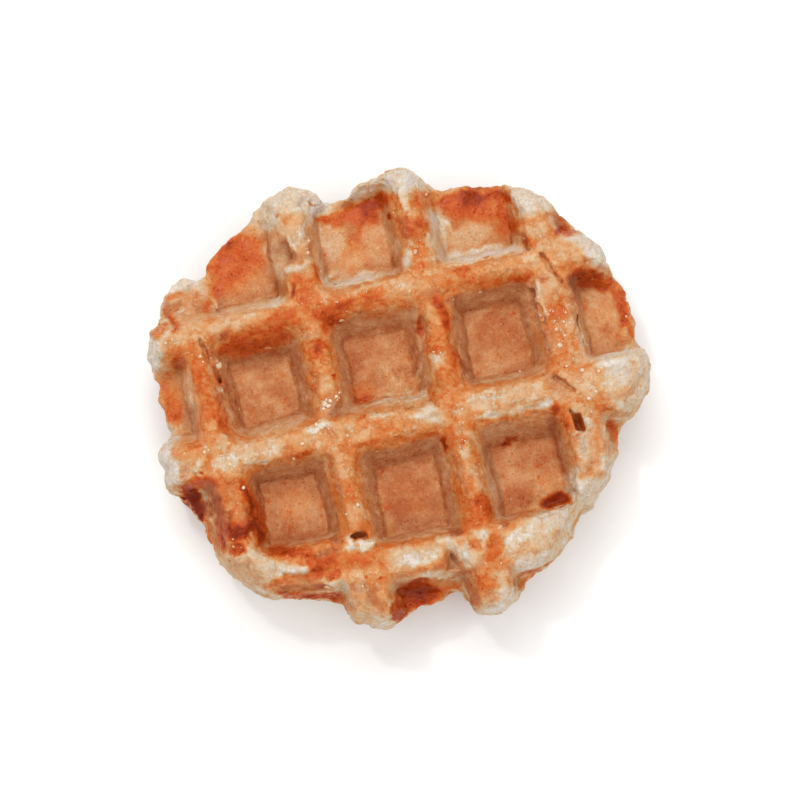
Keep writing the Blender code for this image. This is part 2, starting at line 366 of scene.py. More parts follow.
# Where the iron browned the dough and where it tore, from the photograph, as soft patches:
# colour, x, y, half length, half width, turn in degrees, strength, and where it goes
# (c ridge tops, f pocket floors, w walls, a everywhere)
# Painted shade: wood at -26.8 12.3 across the top of pocket A's floor; taupe at -17.3 33.6 and brown at -16.4 32 in the
# hollow of the second ridge; taupe at -13 -1 in its gap above the crossing;
# Some rows are painted light, not browning or tears. Painted highlights: white at -14.7 43, -11.9 40.8, -41 27.6, -44.6
# 24.3, 4.1 -33.8 and 17.5 -4.6;
# brown at 31 11.6 and 31.6 8 beside the flake on the fourth ridge; straw at 46.6 -7 on the right lobe.
# cream at 10 -32.3 and 9.4 -31.8; straw at -31.2 4.2 on pocket A's floor; blush at 22.5 29 on pocket I's floor.
# rust at -43.2 15 and -45.6 13.6 on pocket K's upper wall; chestnut at 41 14.7 on pocket J's upper wall; brown at 13.4
# 2.2 in pocket C's corner;
PATCHES = """
cream -15 41.6 7.6 4.6 0 .95 a
butter -20.4 41 1.6 2.6 -30 .6 a
gold -15.6 40 1.6 2.4 0 .8 a
amber -16.2 38.6 .7 .6 0 .6 a
butter -14.5 37 2.4 1.7 0 .7 a
white -14.7 43 1.8 .45 -18 .9 a
white -11.9 40.8 2 1.2 0 .75 a
cream -10.2 42 1.8 1.6 0 .7 a
straw -14 34 2.3 4.5 0 .8 a
taupe -17.3 33.6 1.7 3 0 .8 a
brown -16.4 32 .9 1.5 0 .7 a
white -15.9 34.8 .6 1.8 20 .9 a
blush -13.2 33.5 1 3 0 .7 a
white -16 29.3 2.2 .9 0 .9 a
rust -11.8 30.6 .5 4.8 -3 .9 a
cream -10.9 29 .5 4 0 .5 a
amber -15 26 3 1.5 0 .85 c
orange -15 23 2.6 2.4 0 .75 c
char -17.5 25 .45 1.4 -8 .7 a
khaki -19.5 30 1.3 3.5 0 .6 a
brown -20.5 26.5 1.4 2.4 0 .5 a
orange -29 32.5 6.6 5.4 45 .97 a
flame -30.5 33.2 2.6 3.2 30 .75 a
maroon -28.2 36 1.3 1.3 0 .75 a
char -28.1 37.2 .5 .5 0 .6 a
amber -25.5 37.4 3.2 .9 -14 .8 a
amber -24 33 2.4 3.2 0 .85 a
honey -33.4 30 .8 3.4 -20 .85 a
cream -21.6 34.8 .55 1.4 10 .95 a
clay -26 27 4.6 1.8 0 .85 a
blush -24.4 26.6 2.4 .9 0 .6 a
amber -29.4 28.8 3 1.8 0 .7 a
orange -35 25.6 1 3 -25 .85 a
white -33.6 26 .5 1.3 5 .8 a
wood -32.6 24.6 .6 .6 0 .6 a
cream -39 30.5 4.8 1.7 12 .97 a
butter -36.6 29.3 1.2 .6 0 .8 a
gold -41.5 28.6 2.6 .8 10 .8 a
white -41 27.6 1.2 .5 10 .7 a
clay -39.4 26.3 3 1.1 0 .9 a
brick -43.3 25.4 1 1.6 0 .95 a
rust -42.7 23.7 .8 1.2 0 .9 a
white -44.6 24.3 .9 .35 0 .9 a
amber -46 22.3 2.2 1.2 25 .9 a
peach -39.4 23.4 3.2 2.3 0 .9 a
white -41 25.2 .9 .3 15 .8 a
rust -42.3 21.7 .3 1 5 .6 a
white -45 19.7 .5 .35 0 .8 a
flour -48.4 18 1.6 3.9 -5 .97 a
gold -44.4 18.6 2 2.2 0 .85 a
blush -43 19.6 .6 .4 0 .7 a
rust -43.2 15 1.6 1.8 0 .75 a
rust -45.6 13.6 2.2 .7 0 .75 a
amber -46.3 8.2 2.5 5.4 0 .97 a
orange -46.8 5.2 1.6 2 0 .75 a
gold -48.2 9 .5 4 0 .7 a
cream -47.5 2.6 1.3 1.5 0 .8 a
wood -43.6 12 .9 3 0 .6 a
white -42.6 6.8 .45 1.8 -5 .9 a
taupe -43 3 .8 3 0 .6 a
honey -39.6 12 1.8 6.6 0 .9 c
gold -38.8 4.6 1.9 4.2 0 .85 c
peach -41.7 13 .35 4.6 0 .6 c
gold -40 18.8 2.2 2.2 0 .85 c
white -38.7 15.6 .45 .4 0 .9 a
white -35.7 13.1 .5 .9 15 .9 a
straw -36.2 7.6 .8 .8 0 .75 a
taupe -36.3 15.5 1 1.9 0 .55 a
rust -37.3 3 .5 3.4 0 .6 a
straw -35.2 3.5 .4 2 0 .6 a
blush -28 23.6 8 .8 0 .8 a
cream -22 23.2 2.6 .7 5 .85 a
blush -33.4 21.3 1.9 1.3 25 .85 c
honey -33 19 2.4 1.3 15 .85 c
butter -31 20.2 1.2 2 -15 .6 c
flame -22 20.7 4 1 8 .8 c
amber -26.6 19.6 2.2 1.4 0 .85 c
rust -27.5 15.9 8.5 2.5 0 .78 a
rust -32 16.8 3 1 10 .8 a
orange -15 21 2.2 2 0 .85 c
rust -13 19 1.5 1.5 0 .75 c
cream -6 24.6 5.2 .9 3 .85 a
brown -9 25.6 .9 .3 0 .5 a
gold -9 22 3 .9 5 .75 c
rust -8.5 20 4.2 1.3 3 .8 c
chestnut -10.5 17.4 2.8 1.1 0 .9 a
wood -4 17 4 .9 0 .6 a
gold -14.9 9.5 2 7 0 .8 c
blush -16.3 15.3 .8 1 0 .8 c
rust -15 12.4 1.1 1.9 -10 .85 c
rust -12.8 12.6 .7 .8 0 .75 c
honey -14 9 1.6 2 0 .6 c
maroon -12.4 6.4 .5 .6 0 .9 a
amber -17.2 8 .35 5 0 .8 a
butter -14.8 4.6 1.6 1.6 0 .85 c
amber -15.4 7.4 1.2 .8 0 .5 c
taupe -13 -1 2.4 1.4 0 .8 a
rust -30.5 1.2 .8 .5 0 .85 a
straw -31.2 4.2 .8 1 0 .6 f
amber -7.6 1.8 2.7 1.9 -10 .7 f
rust -8 0 2.2 .5 5 .85 a
orange -2.6 39.4 5 2 5 .95 a
rust 2.6 40 2.6 1.9 0 .95 a
orange -8 38.4 2.3 1.2 0 .95 a
amber -1 35.2 2.5 2.2 0 .75 a
straw -7.5 33 2.6 3.5 0 .85 f
cream -9.8 35 .6 2.4 0 .6 a
amber -2.4 30.6 2 2.6 -10 .6 f
cream -7 26.6 3 1 0 .65 a
peach 2 30.5 2.6 4 0 .6 f
clay 3.6 34 1.4 4 0 .6 a
char 5 35.6 .55 .6 0 .7 a
brown 3.5 27.6 .4 1 0 .6 a
flour 9.2 42.3 4 2.7 -10 .97 a
cream 14.5 39.9 1.4 .9 0 .95 a
white 8.6 38.8 1.1 3 0 .9 a
gold 4 42.3 1.6 .8 -15 .7 a
amber 12.3 38 3.2 1.8 0 .92 a
gold 14.3 37.6 1.6 1.4 0 .7 a
peach 11 40 1.6 .6 0 .8 a
gold 6.3 36.8 .9 1 0 .8 c
peach 8.5 35.5 2.4 1.2 0 .8 c
brick 9 32.4 2.5 2.6 0 .92 c
flame 10.2 33.2 1.2 1.1 0 .6 c
honey 9.4 28 1.6 2 0 .85 c
gold 8.4 25.8 2.2 1.2 0 .8 c
cream 6.5 27 .8 2.4 -25 .9 a
cream 8.3 29.3 .6 .7 0 .8 a
cream 13.8 31 2.5 5.2 0 .78 a
flour 15.5 33 1.2 1.6 0 .7 a
maroon 10 24.2 .4 .6 0 .9 a
orange 23 34 6.8 3 -4 .95 a
maroon 21.8 36 2.2 1.9 0 .92 a
flame 17.4 36 2 1.2 0 .85 a
flame 28.4 36 2.1 1.4 -15 .9 a
amber 25.8 36.6 .9 .8 0 .7 a
rust 29.3 31.4 1.3 4.6 0 .9 a
honey 27.4 29 .9 3 0 .7 a
plum 24.4 37.9 4 .35 -12 .7 a
amber 23.5 31 3.6 1.2 0 .8 f
peach 20.5 28.4 5 2.2 0 .85 f
blush 22.5 29 1.6 1 0 .5 f
cream 34 33.4 4.2 2.8 -35 .97 a
gold 34 30 2.6 1 0 .85 a
brick 36.8 29.2 1.3 .8 0 .8 a
brick 39 27.4 1.2 2 10 .92 a
maroon 38.4 25.6 1 .7 0 .9 a
amber 39.6 29.6 .8 1.3 25 .85 a
brick 41.4 24.5 1.8 .6 -35 .92 a
gold 34.6 27 3 1.9 0 .85 c
peach 35 24 2.6 2 0 .88 c
rust 31.2 25 .6 1.6 -10 .95 a
butter 31.5 23 .5 .7 0 .85 a
honey 31.8 26.6 1 .5 0 .8 a
cream 40 24 2.5 .6 -6 .9 a
flour 44.6 19.4 1.8 4.8 20 .97 a
peach 38.4 21.5 3.2 2 0 .92 c
gold 40.5 19.8 1.8 1.8 0 .85 a
peach 43 18 1.1 1.6 10 .7 a
chestnut 41 14.7 4 1.6 -10 .92 a
brown 38.3 14.8 1.4 1.6 0 .6 a
rust 43.6 14.8 1.7 1.2 -20 .8 a
amber 46.3 13 2.3 1 -35 .92 a
flame 47.7 9.4 .9 3.5 3 .95 a
flame 47.3 5.3 1.1 1.9 0 .85 a
peach 48 5.4 .4 .4 0 .7 a
clay 42.6 7 4 5.4 0 .8 f
maroon 43.6 2.9 .8 .3 0 .8 a
brown 40.8 10.5 .6 .4 0 .7 a
wood 39 12 .8 2 0 .7 a
blush 33.5 14.5 2.7 3 0 .92 c
honey 34.2 9.8 2.4 2.5 0 .8 c
gold 34.5 4 2.4 3.2 0 .88 c
gold 34 0 2 2 0 .85 c
cream 30.9 14 .5 1.6 0 .75 a
blush 31.8 9 .5 1.4 0 .75 a
blush 37.4 8 .8 6 0 .75 a
cream 20 24.8 9.2 1 -4 .85 a
cream 27.6 23.8 3.5 .7 -5 .85 a
flame 17.3 22 1.8 1.5 -30 .8 c
gold 13.5 21.5 2.1 1.5 0 .85 c
honey 22.5 21.7 3.6 1.2 -8 .85 c
honey 20 20.3 2.1 .8 0 .8 c
butter 28.6 21 2.3 1.3 -5 .85 c
peach 31.6 20.5 2 1.5 0 .75 c
amber 25 19.5 3.6 .9 -5 .85 a
amber 20 18.4 10 .9 -2 .7 a
rust 28.6 17.8 2.6 .8 0 .85 a
wood 20 16 10 1.1 0 .35 a
rust 11.1 14.8 .7 3.4 4 .95 a
amber 10.9 10 1 3 0 .8 c
butter 9 13.5 1.1 3 0 .85 c
gold 9.4 10 1.2 1.2 0 .8 c
gold 7.2 9.2 .8 .5 0 .8 c
brown 6.5 12.2 .6 1.6 0 .8 a
taupe 5.5 15 1.3 2.5 0 .5 a
amber 7.4 7.4 .9 1.2 0 .8 c
cream 8.6 5.6 1.2 1.4 0 .8 c
butter 8 3.4 1.2 1 0 .7 c
amber 10.9 4.5 .9 2.4 0 .85 c
honey 9 .4 2 2.5 0 .85 c
brown 13.4 2.2 .9 1.7 15 .7 a
flour -49.6 -5 2.2 4.8 0 .97 a
gold -46 -2.5 2.2 2.4 0 .92 a
peach -46.5 -5.6 1.5 .6 0 .8 a
blush -46.6 -7 1.6 1 0 .85 a
cream -44 -6.8 .7 1.6 -25 .9 a
char -43.6 -7.7 .25 .6 35 .7 a
honey -42 -5 1.8 2.6 0 .85 c
brown -46.7 -7.4 .8 .5 0 .7 a
brick -46 -9.5 3.6 1 0 .92 a
maroon -46.5 -11 1.6 .9 0 .92 a
maroon -45.6 -14 1.8 3 25 .97 a
char -47.6 -13 .4 1.6 25 .6 a
char -44.6 -16.6 .8 .9 0 .8 a
taupe -42.5 -11 1.1 1.2 0 .75 a
brown -43.2 -14.8 1.1 1.8 20 .8 a
brick -41 -12 1 3 0 .75 a
honey -38.5 -11.8 1.9 4 0 .92 c
gold -36.9 -13.4 1 3 0 .85 c
gold -38 -8.8 2 1.3 0 .85 c
amber -37.3 -17.4 1.5 1.7 0 .9 c
plum -40.3 -18 1.2 2.2 0 .85 a
maroon -38 -20.2 2.9 1.8 5 .9 a
maroon -39.5 -22.3 1.7 .9 0 .9 a
char -35.9 -20.3 .8 .7 0 .7 a
plum -41.8 -19.5 .9 5.6 -8 .9 a
wood -42.8 -19 .5 4.6 -8 .75 a
char -41.9 -22.5 .45 2 -5 .7 a
amber -44.3 -20.4 .8 4.2 -8 .97 a
brick -40.8 -24.6 1.2 1.8 0 .85 a
clay -43 -25.2 .9 1.2 0 .8 a
chestnut -34.6 -19.4 1.35 5.6 4 .95 a
char -34.4 -19 .5 4.4 4 .7 a
chestnut -35.2 -13 .8 2.2 0 .9 a
brown -33 -16 .5 5 0 .5 a
straw -38.6 -28.4 5.6 3.5 -45 .92 a
cream -37 -25.6 3 1.5 -30 .85 a
straw -35.2 -29.5 1.4 2.5 0 .7 a
cream -41.6 -30 4.6 1 -42 .85 a
cream -31.6 -29 2 1.3 -15 .85 a
white -29 -30.8 2.7 .75 -3 .9 a
honey -31 -28 2.6 .9 -12 .88 a
rust -29.5 -27 3.5 .55 -13 .92 a
amber -25.2 -28.4 1.6 .8 -15 .85 a
rust -24 -31 1.3 2 0 .8 a
amber -21.8 -30.2 2.6 1.6 -10 .85 a
cream -20.6 -28.9 2.6 .3 -17 .75 a
gold -30 -32.6 4.6 .5 -2 .75 a
rust -28 -33.2 7.2 .75 0 .85 a
plum -27 -35 6.2 1 -6 .8 a
blush -22 -35.3 1.6 .5 -15 .85 a
blush -29.5 -34.8 1.6 .25 -8 .6 a
maroon -25.6 -37.2 5.2 .8 -12 .88 a
chestnut -21.5 -38 1.9 1.2 -15 .85 a
amber -20.5 -39.6 1 1.3 0 .8 a
blush -31 -5.3 6.2 1.9 -2 .85 c
straw -32.5 -6.6 2.6 .8 5 .5 c
cream -38 -6.5 2.6 1.6 -10 .85 c
gold -35 -3.3 2 .8 10 .8 c
clay -30 -1.6 5.2 .7 3 .7 a
peach -22 -5.2 3.2 1.6 0 .8 c
white -18.6 -3.5 2.2 1 0 .85 c
clay -26 -8.5 5.2 .8 3 .85 a
rust -21.3 -7.8 1.3 .5 10 .8 a
honey -22.6 -7 2.6 .8 5 .7 c
brown -20.5 -9.6 1 .6 0 .6 a
gold -14.5 -6 3.2 2 0 .85 c
white -17 -2.9 1.4 1 0 .8 c
butter -12.5 -4.6 1.4 .8 0 .8 c
gold -10 -6.5 2.6 1.5 0 .85 c
cream -4 -3.1 4 .8 3 .8 c
honey -5.4 -6.3 2 1.5 0 .85 c
cream 1 -6 3.2 1.3 -3 .88 c
char -8.5 -3.4 .35 .25 0 .7 a
char -6 -3.3 .35 .25 0 .7 a
rust -9 -9 3.2 .6 0 .8 a
gold 2 -8.6 3.4 .7 0 .8 c
peach -14.4 -12.4 1.8 3.6 0 .88 c
honey -15.2 -18.2 1.7 1.9 0 .85 c
peach -13.8 -17.4 .8 1.4 0 .6 c
peach -14.3 -22.4 2 2.6 0 .88 c
honey -16.6 -21 .5 2.6 0 .7 a
cream -16.8 -26.8 .7 .7 0 .85 a
white -14 -28.9 2.5 .9 0 .9 a
white -16.7 -28.9 1 .8 0 .85 a
honey -14 -31.4 4 1.1 0 .88 c
gold -9 -33.4 3 2 0 .88 c
peach -7.6 -31.2 2 .8 0 .8 c
amber -13 -33.8 3 1 -5 .75 c
gold -17.6 -33.4 2 1.2 0 .8 c
char -12.4 -36 .6 .4 15 .8 a
char -15 -35.2 .3 .3 0 .6 a
cream -5 -34 1.8 2 0 .9 c
gold -15 -40 4 4.6 0 .75 a
clay -14.5 -38 1.6 1 0 .7 a
brick -14 -40.4 1 .6 -15 .85 a
cream -13.8 -45 4.6 1.2 -18 .92 a
straw -17.5 -43.4 2.1 1.2 -30 .85 a
clay -19.2 -41 .8 2.5 0 .75 a
straw -10.4 -38.6 1 1.2 0 .75 a
plum -9.8 -43.5 1.9 2.3 -20 .95 a
brick -11.5 -44.4 .7 .6 0 .7 a
maroon -5 -40 4 1.7 0 .97 a
rust -5 -42.4 3.6 1.2 5 .97 a
amber .4 -41.2 3 1.6 5 .95 a
peach -.8 -41.7 1.2 .8 0 .7 a
brick 4 -38 2.7 .5 -5 .88 a
maroon 5 -38.8 1.5 .3 0 .7 a
taupe 4.5 -39.7 1.6 .6 0 .7 a
wood 3 -36 1.4 2 0 .7 a
straw 5.5 -35 1.4 2.9 -15 .9 a
white 4.1 -33.8 .35 1.8 5 .7 a
blush 3.4 -31.4 3 .9 0 .8 c
peach 10 -12 2 4.2 0 .92 c
flame 10.8 -15.5 .8 1 0 .6 c
maroon 11.5 -17.7 .3 .3 0 .8 a
blush 9.5 -18.4 1.6 1.6 0 .75 c
honey 8.6 -21 1.2 1.5 0 .85 c
amber 7 -24 .9 5 0 .75 a
rust 10.6 -25.6 1.3 2 0 .92 c
orange 9.8 -28 1.8 1.3 0 .92 c
honey 12 -29.6 .6 1.5 0 .85 c
peach 10.8 -22 1 1.5 0 .7 c
cream 10 -32.3 1.5 1 0 .95 c
amber 11.4 -34.8 1.9 2.4 0 .92 c
wood 7.8 -36.8 1.4 1.4 0 .8 c
gold 10.5 -38.6 2.5 2 0 .85 c
honey 7.5 -41.5 2.3 1.8 0 .88 a
clay 5.2 -41 .8 1.6 0 .75 a
straw 12 -41.6 2 2.2 0 .88 a
taupe 13.9 -40 .9 1.5 0 .6 a
brick 5.3 -44.8 1.5 1.8 30 .92 a
maroon 6.3 -45.4 .9 .5 -20 .8 a
cream 10 -45.5 4.2 1.8 5 .85 a
white 9 -47.2 3.6 .7 5 .9 a
butter 9 -43 2.4 .25 -10 .7 a
honey 17.5 -42.3 2.7 1.4 25 .97 a
brick 17.6 -41.2 3.3 .45 10 .92 a
brick 21.2 -40.4 1.8 .35 10 .8 a
cream 21 -35 7.4 4.2 12 .95 a
white 15.5 -34.5 1.8 2.2 0 .85 a
straw 20 -36 1.6 .8 10 .8 a
straw 16.3 -37.5 2 .9 0 .7 a
straw 24 -35.3 .6 1.6 -20 .8 a
char 22.7 -36.4 .5 .18 50 .7 a
wood 20 -37.6 .9 .2 35 .7 a
cream 20 -39 4 1 8 .85 a
chestnut 25.6 -28.2 2.9 1.4 6 .97 a
rust 28.6 -28.8 .6 .9 0 .85 a
amber 20 -29.4 2.6 .4 2 .7 a
gold 25 -24 2.6 2 0 .7 f
rust 23.2 -23 .4 .25 0 .8 f
rust 18.5 -20 .3 .25 0 .7 f
rust 20.5 -20 .3 .25 0 .7 f
rust 19 -23.7 .35 .25 0 .7 f
taupe 18 -11.5 4 1.5 0 .6 a
clay 26 -11 3 1.3 0 .75 a
chestnut 30 -10 1.4 1 0 .9 a
rust 31 -12.5 .8 2 0 .7 a
brown 28.2 -14 .9 2 0 .5 a
maroon 6.3 -12 .5 1.4 0 .92 a
rust 2 -9.7 3.6 .5 0 .7 a
char 13 -12 .25 1 10 .6 a
straw 13.3 -22 .9 7 3 .6 a
blush 20 -5.5 7.2 2 -2 .85 c
white 17.5 -4.6 2.4 .7 -10 .8 c
amber 18.3 -6.4 .6 .5 0 .6 c
peach 26.5 -3.8 3 .8 -4 .85 c
blush 13.5 -4 1.2 .9 0 .8 c
butter 17 -8.3 3.6 .8 0 .88 c
cream 27.6 -8.4 2 .8 15 .88 c
honey 9 -4.4 1.6 3 0 .85 c
blush 10.8 -6.5 1 .8 0 .8 c
amber 9.8 -8 .8 .7 0 .65 c
clay 31.3 -6.3 2 2.4 -10 .9 a
gold 34 -1.5 1.8 1.9 0 .85 c
peach 36.5 -5.5 3 2 -10 .88 c
clay 39.8 -.8 3 .5 -3 .7 a
cream 45.4 -6 5 5.6 0 .95 a
white 42.4 -2.6 3.2 1.4 -5 .85 a
butter 42 -7.5 2 2 0 .5 a
straw 46.6 -7 1.4 3 -10 .6 a
clay 47 -4 .6 1 0 .55 a
wood 45 -10 2.2 .35 45 .6 a
gold 40 -8.5 .8 .7 0 .7 a
gold 38 -9.6 1.2 .6 0 .7 a
brick 41 -10.2 1.4 .3 -10 .75 a
maroon 40.2 -12.2 1.2 .35 10 .92 a
clay 41.5 -13.6 2.6 .7 -5 .85 a
white 35.3 -13.8 .7 2 0 .95 a
white 32.7 -15.6 .8 .5 20 .92 a
butter 34.6 -10.4 1.8 .9 -10 .9 a
blush 36.8 -12 1.3 1.6 0 .85 a
straw 33.5 -18.6 1.1 3 0 .95 a
gold 36.5 -18.4 1.4 2.6 0 .85 a
amber 36.9 -19.8 .7 1 0 .65 a
clay 31.3 -18 .9 3 0 .88 a
blush 38.5 -18 .5 3.6 8 .85 a
straw 33.5 -22.5 3 1.6 -15 .85 a
cream 33.4 -26.4 4.4 4.1 35 .95 a
white 34.5 -25.3 1.3 .4 25 .9 a
white 31.5 -25 .5 1.5 10 .7 a
wood 30 -26 .3 1.8 25 .6 a
amber 40 -16.5 .9 2.7 -10 .97 a
rust 39.8 -15.4 .7 1 0 .7 a
cream 41.3 -18.5 .4 1.2 -15 .8 a
clay 43 -.2 4 .7 0 .7 a
peach 48 1 .8 2 0 .8 a
blush -31.6 21.4 2.3 1.1 20 .8 c
orange -25 19.4 8.4 .9 5 .85 c
flame -21.4 19.8 3.6 1 6 .8 c
rust -25 17.9 8.4 .8 4 .75 a
honey -33 19.1 2 1.1 15 .8 c
rust -9.6 18.6 3.4 1.5 0 .75 a
amber -3 19.2 6 .9 0 .6 a
orange 21.5 19.4 9 .9 -2 .75 a
gold -1 22 3.6 1 0 .6 c
rust 44.4 13 2 1.1 -35 .85 a
flame 47.2 9.4 1.3 4.4 2 .97 a
flame 46.9 6 1.2 2.4 -8 .9 a
peach 43 8.6 3.2 3.6 0 .6 f
blush 43.5 10.5 1.1 .8 0 .7 f
blush 41.8 8.8 .7 .5 0 .6 f
blush 44 6.4 .7 .5 0 .6 f
amber 43 2.2 3.4 1.5 0 .6 f
amber -39.5 12 1.9 5.4 0 .85 c
orange -39 6.5 1.6 4.6 0 .6 c
peach -41.1 9 .5 5 0 .6 c
wood -36.5 5 .8 6 0 .6 a
rust -36.7 2 .9 3 0 .7 a
orange -46.7 8.4 2.2 5.2 0 .9 a
wood -43.3 9 .8 6 0 .6 a
rust -44 -9.8 3.4 1.2 -5 .8 a
maroon -46.3 -11.8 1.8 1.8 20 .9 a
brown -41.9 -12.2 1.1 2.4 0 .7 a
amber -28 -8.3 7 .7 0 .7 a
rust -22.5 -8.3 2.4 .6 5 .7 a
rust -14.8 12 1.2 1.9 -10 .85 c
rust -16.5 9 .45 5 0 .7 a
amber -14.6 9.4 1.6 1.4 0 .6 c
orange 9.8 .8 2.2 3.2 0 .85 c
amber 7.7 8.4 1.2 1.2 0 .85 c
honey 9.3 12.6 1.3 3 0 .8 c
chestnut 6.6 12.2 .6 2.2 -8 .8 a
rust 11.4 13.4 .9 4 4 .9 a
amber 10.5 8.6 1.3 2.4 0 .8 c
rust 11.6 4.2 .7 2.6 -8 .7 a
cream 8.5 5.6 1 1.1 0 .8 c
gold -10.5 -6.4 3.4 1.8 0 .7 c
honey -3.8 -6.8 2.6 1.8 0 .8 c
orange -6 -9 3 .7 0 .7 a
amber 0 -8.9 5 .6 0 .6 a
cream 3.2 -5.6 2.4 1.6 -20 .8 c
blush 9.6 -12.6 1.3 3.4 0 .7 c
amber 8.2 -14.5 .7 5 0 .7 c
honey 8.4 -22 1.2 5 0 .8 c
blush 11 -19.6 .7 2.2 0 .8 c
rust 10.8 -25.8 1.5 2.3 0 .95 c
maroon 11.2 -25 .7 .9 0 .6 c
orange 9.2 -27.8 1.8 1.6 0 .9 c
cream 9.4 -31.8 1.7 1.3 0 .95 c
amber 11.6 -34.6 2 2.6 0 .95 c
orange 10.4 -36.4 1.6 1.2 0 .7 c
amber 8 -41.8 2.6 2.4 0 .85 a
brick 5.2 -42.6 1 2.2 10 .9 a
cream -4 -33.4 5.2 2 0 .9 c
white -5.4 -34.4 2 .9 0 .6 c
straw -1.5 -32 3 1 0 .7 c
orange -12.6 -32.2 2.6 1.2 0 .75 c
cream 6.2 -35.2 1.9 2.8 -8 .95 a
khaki 2.9 -35.8 1 1.6 0 .6 a
blush -3 -37.3 6 .5 -4 .8 a
brick 2 -38.4 4 .5 -6 .8 a
rust -4.8 -41 4.8 2.5 4 .97 a
chestnut -5.6 -40 3.6 1.6 0 .8 a
orange -4 -43.4 3.4 .5 5 .8 a
amber .4 -41.4 1.2 1.2 5 .9 a
rust -10 -43.6 1.7 1.8 -20 .7 a
chestnut -38 -20.4 3.2 2 5 .85 a
maroon -38.5 -21.4 2 .9 5 .8 a
orange -37.2 -16.6 1.5 1.9 0 .8 c
amber -38.3 -12.6 1.9 3 0 .8 c
brick -40.7 -15.5 .9 4.5 0 .7 a
rust -28.8 -27.2 5 1 -13 .95 a
rust -24.2 -30.6 1.5 2.2 0 .9 a
orange -28.5 -32.8 6.5 1 -2 .9 a
orange -17.5 -31.8 4.5 1.3 0 .7 c
khaki -38.8 -29.6 4.4 2.6 -45 .5 a
brown -27 -24.6 6 .8 0 .4 a
blush 33.4 14.4 2.3 3.2 0 .9 c
white 31.6 14.2 .6 2.4 0 .7 a
flame 34.2 9.6 1.9 2.1 0 .6 c
blush 37.6 6.6 .7 5 0 .8 a
flame -29.6 33 3.6 3.4 40 .7 a
orange -25.8 34.6 4.6 2.4 20 .8 a
orange -2 38.6 6.4 1.9 6 .95 a
rust 2.5 39.6 3.4 1.9 0 .9 a
flame -1 36.4 1.8 1.3 0 .8 a
peach 1.5 31.4 3 4.4 0 .7 f
blush -7 31 2.4 4 0 .6 f
amber -4.6 31 1.2 3.2 -25 .7 f
flame 10.2 32.6 2.2 2.5 0 .8 c
flame 21 35.4 5.6 2.2 -3 .85 a
chestnut 22 36.2 2.5 1.9 0 .9 a
maroon 21.8 36.4 1.5 1.1 0 .6 a
orange 25.6 33 3.6 2.1 -10 .9 a
blush 19 28.4 5 1.6 0 .6 f
amber -41.2 28.5 2.2 .9 0 .7 a
blush -41.4 27.5 1.2 .5 10 .8 a
blush -39.8 26 1.5 .35 0 .8 a
chestnut 26 -28.2 3.1 1.5 4 .97 a
maroon 18.7 -14.5 2.1 .34 14 .95 a
brown 28.6 -12.4 1.3 1.6 0 .7 a
khaki 22 -36 6 2 12 .35 a
wood -26.8 12.3 5.4 1.7 0 .8 f
brown -8.3 6.8 1.1 4.4 0 .35 f
brick 21.4 8 5 3.4 0 .6 f
peach 21.5 1.9 4.6 1.7 0 .7 f
brick -3.2 -20.5 5 4.4 0 .65 f
wood -3.2 -26.7 5.4 1.6 0 .6 f
brick 18.6 -26.4 3.2 2 0 .6 f
gold -4 29 3.4 2.8 0 .9 f
butter -3.6 28.4 1.6 1.2 0 .5 f
gold 43.2 6.6 3 2.6 0 .5 f
peach -32 21.4 2.4 1.3 15 .75 c
gold -26 21.3 3.6 1.2 8 .88 c
butter -27.5 21.8 1.3 .7 8 .6 c
honey -9 21.6 2.6 1.2 0 .85 c
orange -1.6 20.8 2.6 1.3 0 .9 c
gold 28 20.8 3 1.4 -5 .85 c
flour 45 -4.6 2.2 2.2 0 .6 a
rust -22 -31 1.8 1.4 0 .7 a
straw 20 -32.8 3 1.6 0 .6 a
cream 24 -37 2.4 1.4 20 .6 a
peach -39 28 1.8 1.2 0 .8 a
straw -38 -27 2.2 1 -40 .7 a
khaki -38.4 -27.4 1.6 1 -40 .5 a
butter -15 42 2 1.3 0 .7 a
peach -14 28 1.5 1.5 0 .75 a
wood -15 -39.8 1.6 1.3 0 .7 a
white 8 42.4 2.6 1 -10 .6 a
honey 10 -.4 1.7 2.2 0 .85 c
gold 9 1.8 1 .9 0 .6 c
peach 9.2 -34 1.3 1.5 0 .75 c
amber 9.5 -43 1.7 1.3 0 .6 a
blush 34 27 2.2 1.5 0 .75 c
gold 34.4 -.2 2 2 0 .85 c
cream 35.6 -15 1.4 1.8 0 .6 a
clay 35 -21 2 1.5 0 .5 a
clay -26 -10.6 6 .9 3 .6 a
blush -27 -2 5 1 3 .6 a
peach -3 -2 4 .9 3 .6 a
amber 29.5 7 .8 4.4 0 .6 a
clay 21 15.6 6 .9 -3 .4 a
honey -2 -5 4.4 1 4 .75 c
amber -1.5 -6.8 4 .9 2 .7 c
maroon -39 -24.5 1.9 1.2 0 .85 a
rust 8 -33.8 1.1 1.5 10 .75 a
brown 4.8 -30.1 1.5 1.1 0 .8 a
cream 3.6 -33.4 1 1.5 -8 .85 a
cream 4.8 -35.2 .9 1.6 -8 .85 a
rust 8.5 6.9 .9 1.3 0 .8 a
rust 6 -1.3 1.4 .8 0 .75 a
amber -18.8 -2.6 1.7 .7 5 .7 c
chestnut -12.4 16.4 1.5 1.2 0 .8 a
white -7.5 41.4 4.6 .8 8 .8 a
honey -27 18.9 4.6 .8 6 .7 c
brick -33.4 19 1.4 1.2 0 .6 a
cream 22 -8.5 5 .7 3 .7 c
cream -5 25 5 .6 4 .8 a
white -3 25.2 2.4 .4 6 .7 a
cream 20 25 7.4 .6 -4 .8 a
white 22 25.2 3 .4 -4 .7 a
blush -11 34 .8 4 0 .5 a
clay 38.6 -20 2.2 2 -10 .6 a
blush 43 6.4 3.4 4 0 .5 f
rust 40.6 9.6 .7 .8 0 .6 a
brown 31 11.6 .5 3 0 .5 a
